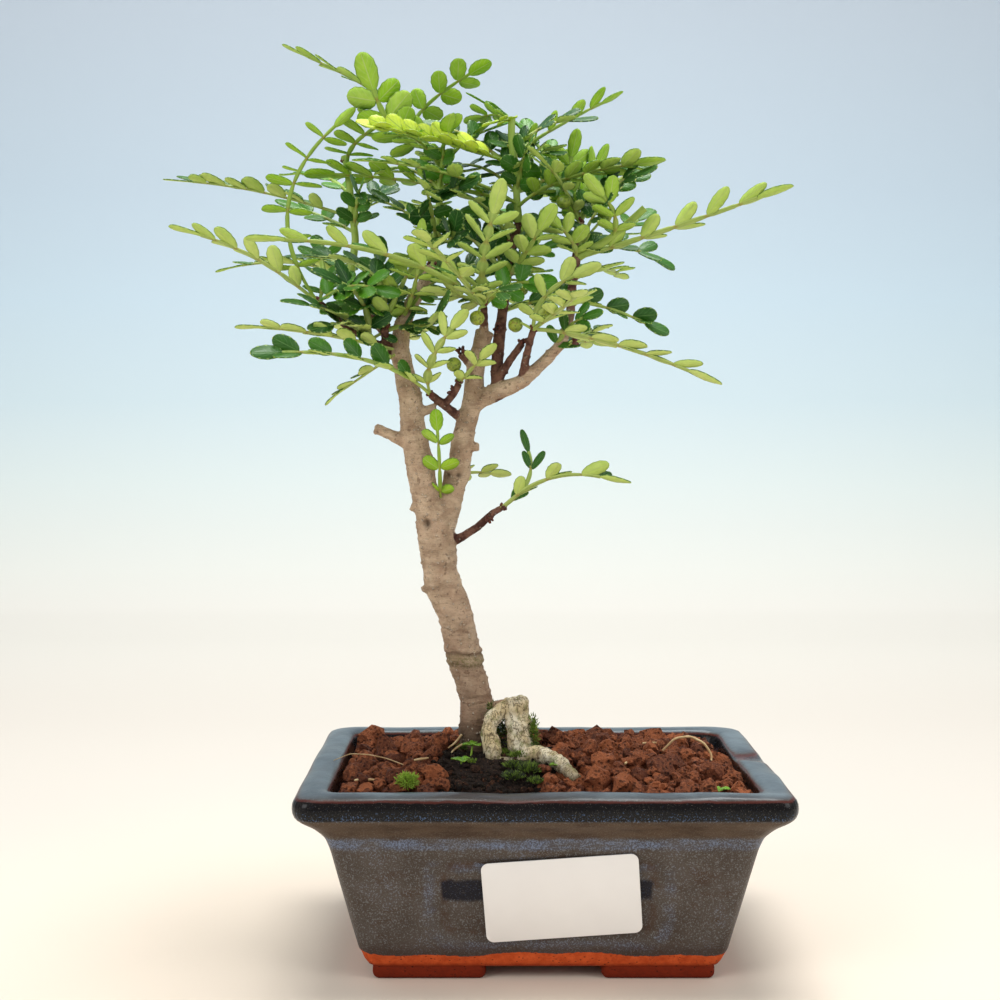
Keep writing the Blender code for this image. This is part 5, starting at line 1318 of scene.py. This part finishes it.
def makeGravel():
    rng = random.Random(17)
    finish = earthFinish("lavaGranules", tone(158, 92, 58), tone(84, 44, 29), 1.0)
    bed = groundDisc("gravel_shade_bed", (1,), (0.06, 0.25, 0.45, 0.65, 0.85, 1), 0, finish)
    spots = points(bed) / mm
    spots[:, 2] += 0.5 * roughly(spots, 3, 2) - 1.7
    movePoints(bed, spots * mm)
    outwards(bed)
    applied(bed, "SOLIDIFY", thickness=3 * mm, offset=-1)
    # painted shade: the bed under the granules tinted dark, filling their gaps
    mark(bed, "tint", 0.1)
    made = [bed]
    grains = [makeGrain(rng, 9, finish) for _ in range(8)]
    halfX, halfY = ground["half"]
    low, high = ground["grain"]
    laid = []
    longRoot = evenly(wood["stems"]["long root"][1], 1)[:, :2]
    for layer, count in enumerate(ground["layers"]):
        tries = 0
        wanted = len(laid) + count
        while len(laid) < wanted and tries < 9000:
            tries += 1
            size = (low + (high - low) * rng.random() ** (1.5, 1.1, 1.5)[layer]) * (1, 1, 0.5)[layer]
            x, y = (rng.uniform(-half + size * 0.42, half - size * 0.42) for half in (halfX, halfY))
            if patchReach(x, y) < 1 + (size * 0.3 - (2.4 if layer == 2 else 0.6)) / 20:
                continue
            # the bare soil in front, and the long root, stay free
            if abs(x + 12.5) < 12 and y < -20:
                continue
            if layer and np.hypot(*(longRoot - (x, y)).T).min() < size / 2 + 1.2:
                continue
            gap = min((math.hypot(x - other[0], y - other[1]) / (size + other[2]) for other in laid
                       if other[3] == layer), default=9)
            if gap < (0.4, 0.44, 0.3)[layer]:
                continue
            lift = (-0.25, 0.42, 0.75)[layer] * size * 0.5 + rng.uniform(-0.5, 0.4) + (0, 0.5, 1.4)[layer]
            laid.append((x, y, size, layer))
            made.append(grainAt(grains, (x, y, float(groundHeight(x, y)) - 0.7 + lift), size, rng))
    for grain in grains:
        bpy.data.objects.remove(grain)
    print("granules laid:", len(laid))
    return settle(joinedPiece("lava_granules", made), "lava_gravel", "gravel")


def earthFinish(name, light, dark, lively):
    earth = Finish(name, Specular_IOR_Level=0.25)
    spot = earth.place()
    tint = earth.attribute("tint")
    fine = earth.noise(spot, 0.8, 5, 0.72)
    hollow = (1 - earth.cells(spot, 1.3)).step(0.6, 0.86)
    colour = earth.mix(fine.step(0.32, 0.66), dark, light)
    colour = earth.mix(tint.step(0.6, 1) * 0.55 * lively, colour, tone(170, 98, 60))
    colour = earth.mix((1 - tint).step(0.6, 1) * 0.65 * lively, colour, tone(70, 36, 27))
    colour = earth.mix(hollow * 0.65, colour, tone(34, 17, 12))
    colour = earth.mix(earth.noise(spot, 0.4, 2).step(0.66, 0.74) * 0.4, colour, tone(196, 150, 112))
    lumps = fine + (1 - hollow) * 0.6
    return earth.wear(Base_Color=colour, Roughness=0.84 + fine * 0.12, Normal=earth.bump(lumps, 0.8, 1.0))


# Small things on the ground: moss, seedlings, rootlets and straw
litter = {
    # moss: middle, half sizes, how many blades, brightness
    "moss": [
        ((-7, -18, 49.9), (2.8, 3, 1.1), 380, 0), ((-3.2, -22, 49.9), (3, 4, 1.5), 560, 0.08),
        ((-7.4, -26, 49), (3, 3.6, 1), 380, 0), ((-2, -28.5, 48.4), (2, 2.4, 0.8), 200, 0.12), ((-5.4, -9.6, 50.6), (3, 1.5, 1.4), 300, 0.3),
        ((-1.9, -4.8, 55.6), (1.4, 2.2, 5.6), 520, 0.3), ((-9.4, -5.8, 50.6), (1.6, 2.6, 0.8), 160, 0.3),
        ((-33.6, -30.4, 49.2), (2.8, 2, 1.8), 460, 1.0), ((-17.8, -14, 50), (1.4, 1.2, 0.6), 60, 0.5),
        ((-20.8, 0.6, 50.6), (1.4, 2.4, 0.8), 110, 0.15), ((-12.6, -0.4, 60.2), (1.5, 1.6, 3.6), 260, 0.12),
        ((-10.3, -0.6, 55.6), (1.7, 1.1, 4.4), 420, 0.02)],
    "seedlings": [(-18.3, -6, 3.6), (5, -18.5, 1.8), (43, -31, 2.4), (-20.6, -12, 1.6)],
    "rootlets": [
        [(-54.5, -4, 48.4, 0.1), (-50, -6, 50.6, 0.14), (-45, -8, 50.8, 0.15), (-40, -10, 50.2, 0.14), (-35.6, -12, 49, 0.1)],
        [(33, 1, 50, 0.3), (36, 0, 53.4, 0.35), (40, -1, 54.2, 0.36), (43.6, -2, 52.6, 0.33), (45.4, -4, 49.8, 0.3),
         (44.6, -6, 47, 0.2)],
        [(-20.6, -1, 52, 0.35), (-22.4, -2.6, 51.2, 0.3), (-23.4, -4.5, 50.6, 0.2)],
        [(-20.8, 2, 54, 0.35), (-22.4, 0.4, 52.2, 0.3), (-24.4, 0, 50.8, 0.2)]],
    "straws": [(-45.5, -22.5, 20), (-43.5, -24, -35), (22, -17, 60), (-31, -12, 10), (30, 6, -20)],
}


def makeMoss():
    rng = random.Random(12)
    finish = mossFinish()
    bpy.ops.mesh.primitive_cone_add(vertices=4, radius1=0.16, radius2=0.03, depth=1, location=(0, 0, 0.5))
    bladePattern = bpy.context.object
    pick(bladePattern)
    bpy.ops.object.transform_apply(location=True)
    bladePattern.data.transform(Matrix.Scale(mm, 4))
    bladePattern.data.materials.append(finish)
    made = []
    for middle, half, count, bright in litter["moss"]:
        for _ in range(count):
            climb = rng.gauss(0, 1)
            way = Vector((rng.gauss(0, 1), rng.gauss(0, 1), climb if half[2] > 1.5 else abs(climb))).normalized()
            reach = rng.uniform(0.3, 1)
            spot = Vector(middle) + Vector([size * part * reach for size, part in zip(half, way)])
            lean = way + Vector((rng.gauss(0, 0.4), rng.gauss(0, 0.4), 0.5))
            place = Matrix.Translation(spot * mm) @ lean.to_track_quat("Z", "Y").to_matrix().to_4x4()
            item = placedCopy(bladePattern, place @ Matrix.Scale(rng.uniform(0.5, 1.15), 4))
            mark(item, "tone", bright * 0.7 + 0.6 * rng.random() ** 3 + 0.4 * max(0, noise.noise(spot * 1.1)))
            made.append(item)
    bpy.data.objects.remove(bladePattern)
    return settle(joinedPiece("moss_tufts", made), "leaf")


def mossFinish():
    moss = Finish("moss")
    bright = moss.attribute("tone")
    colour = moss.mix(bright, tone(16, 26, 7), tone(146, 178, 52))
    return moss.wear(Base_Color=colour, Roughness=0.65 + bright * 0.1)


def makeSeedlings():
    rng = random.Random(5)
    leafPattern = makeLeafletPattern(rng)
    made = []
    for x, y, tall in litter["seedlings"]:
        foot = Vector((x, y, float(groundHeight(x, y)) - 0.5))
        head = foot + Vector((rng.uniform(-0.5, 0.5), rng.uniform(-0.5, 0.5), tall))
        stalk = tubeThrough([(*foot, 0.3), (*head, 0.24)], leafFinishes[2], 6)
        mark(stalk, "tone", 1)
        made.append(stalk)
        start = rng.uniform(0, 1.5)
        for number in range(3):
            turn = start + number * 2.1
            out = Vector((math.cos(turn), math.sin(turn), 0.35)).normalized()
            across = Vector((-math.sin(turn), math.cos(turn), 0))
            item = placedCopy(leafPattern, blade(head, out, across, out.cross(across), 0.36, 0.5))
            mark(item, "tone", 1.15)
            made.append(item)
    bpy.data.objects.remove(leafPattern)
    return settle(joinedPiece("seedlings", made), "leaf")


def makeRootlets():
    finish = Finish("drySkin", 0.6)
    spot = finish.place()
    colour = finish.mix(finish.noise(spot, 2, 3).step(0.3, 0.7), tone(176, 140, 92), tone(214, 188, 140))
    finish.wear(Base_Color=colour)
    made = [tubeThrough(evenly(path, 0.6, 3), finish.material, 6) for path in litter["rootlets"]]
    for x, y, turn in litter["straws"]:
        z = float(groundHeight(x, y)) + 2.6
        reach = Vector((math.cos(math.radians(turn)), math.sin(math.radians(turn)), 0.12)) * 1.9
        middle = Vector((x, y, z))
        made.append(tubeThrough([(*(middle - reach), 0.28), (*middle, 0.36), (*(middle + reach), 0.2)], finish.material, 6))
    return settle(joinedPiece("rootlets_and_straw", made), "bark")


makeCamera()
makeStage()
makeWorld()
makeLight("top_softbox", (0.05, 0.12, 1.0), (0, 0, 0.1), 0.6, 9.5)
makeLight("left_softbox", (-0.8, -0.7, 0.7), (0, 0, 0.1), 0.7, 4.5)
makeLight("right_softbox", (0.8, -0.5, 0.55), (0, 0, 0.12), 0.6, 2.5)
print("stage, camera and lights set")
makePot()
makeLabel()
print("pot and label made")
makeFoliage()
print("foliage grown")
makeWood()
print("wood grown")
makeSoil()
makeGravel()
makeMoss()
makeSeedlings()
makeRootlets()
print("ground laid")
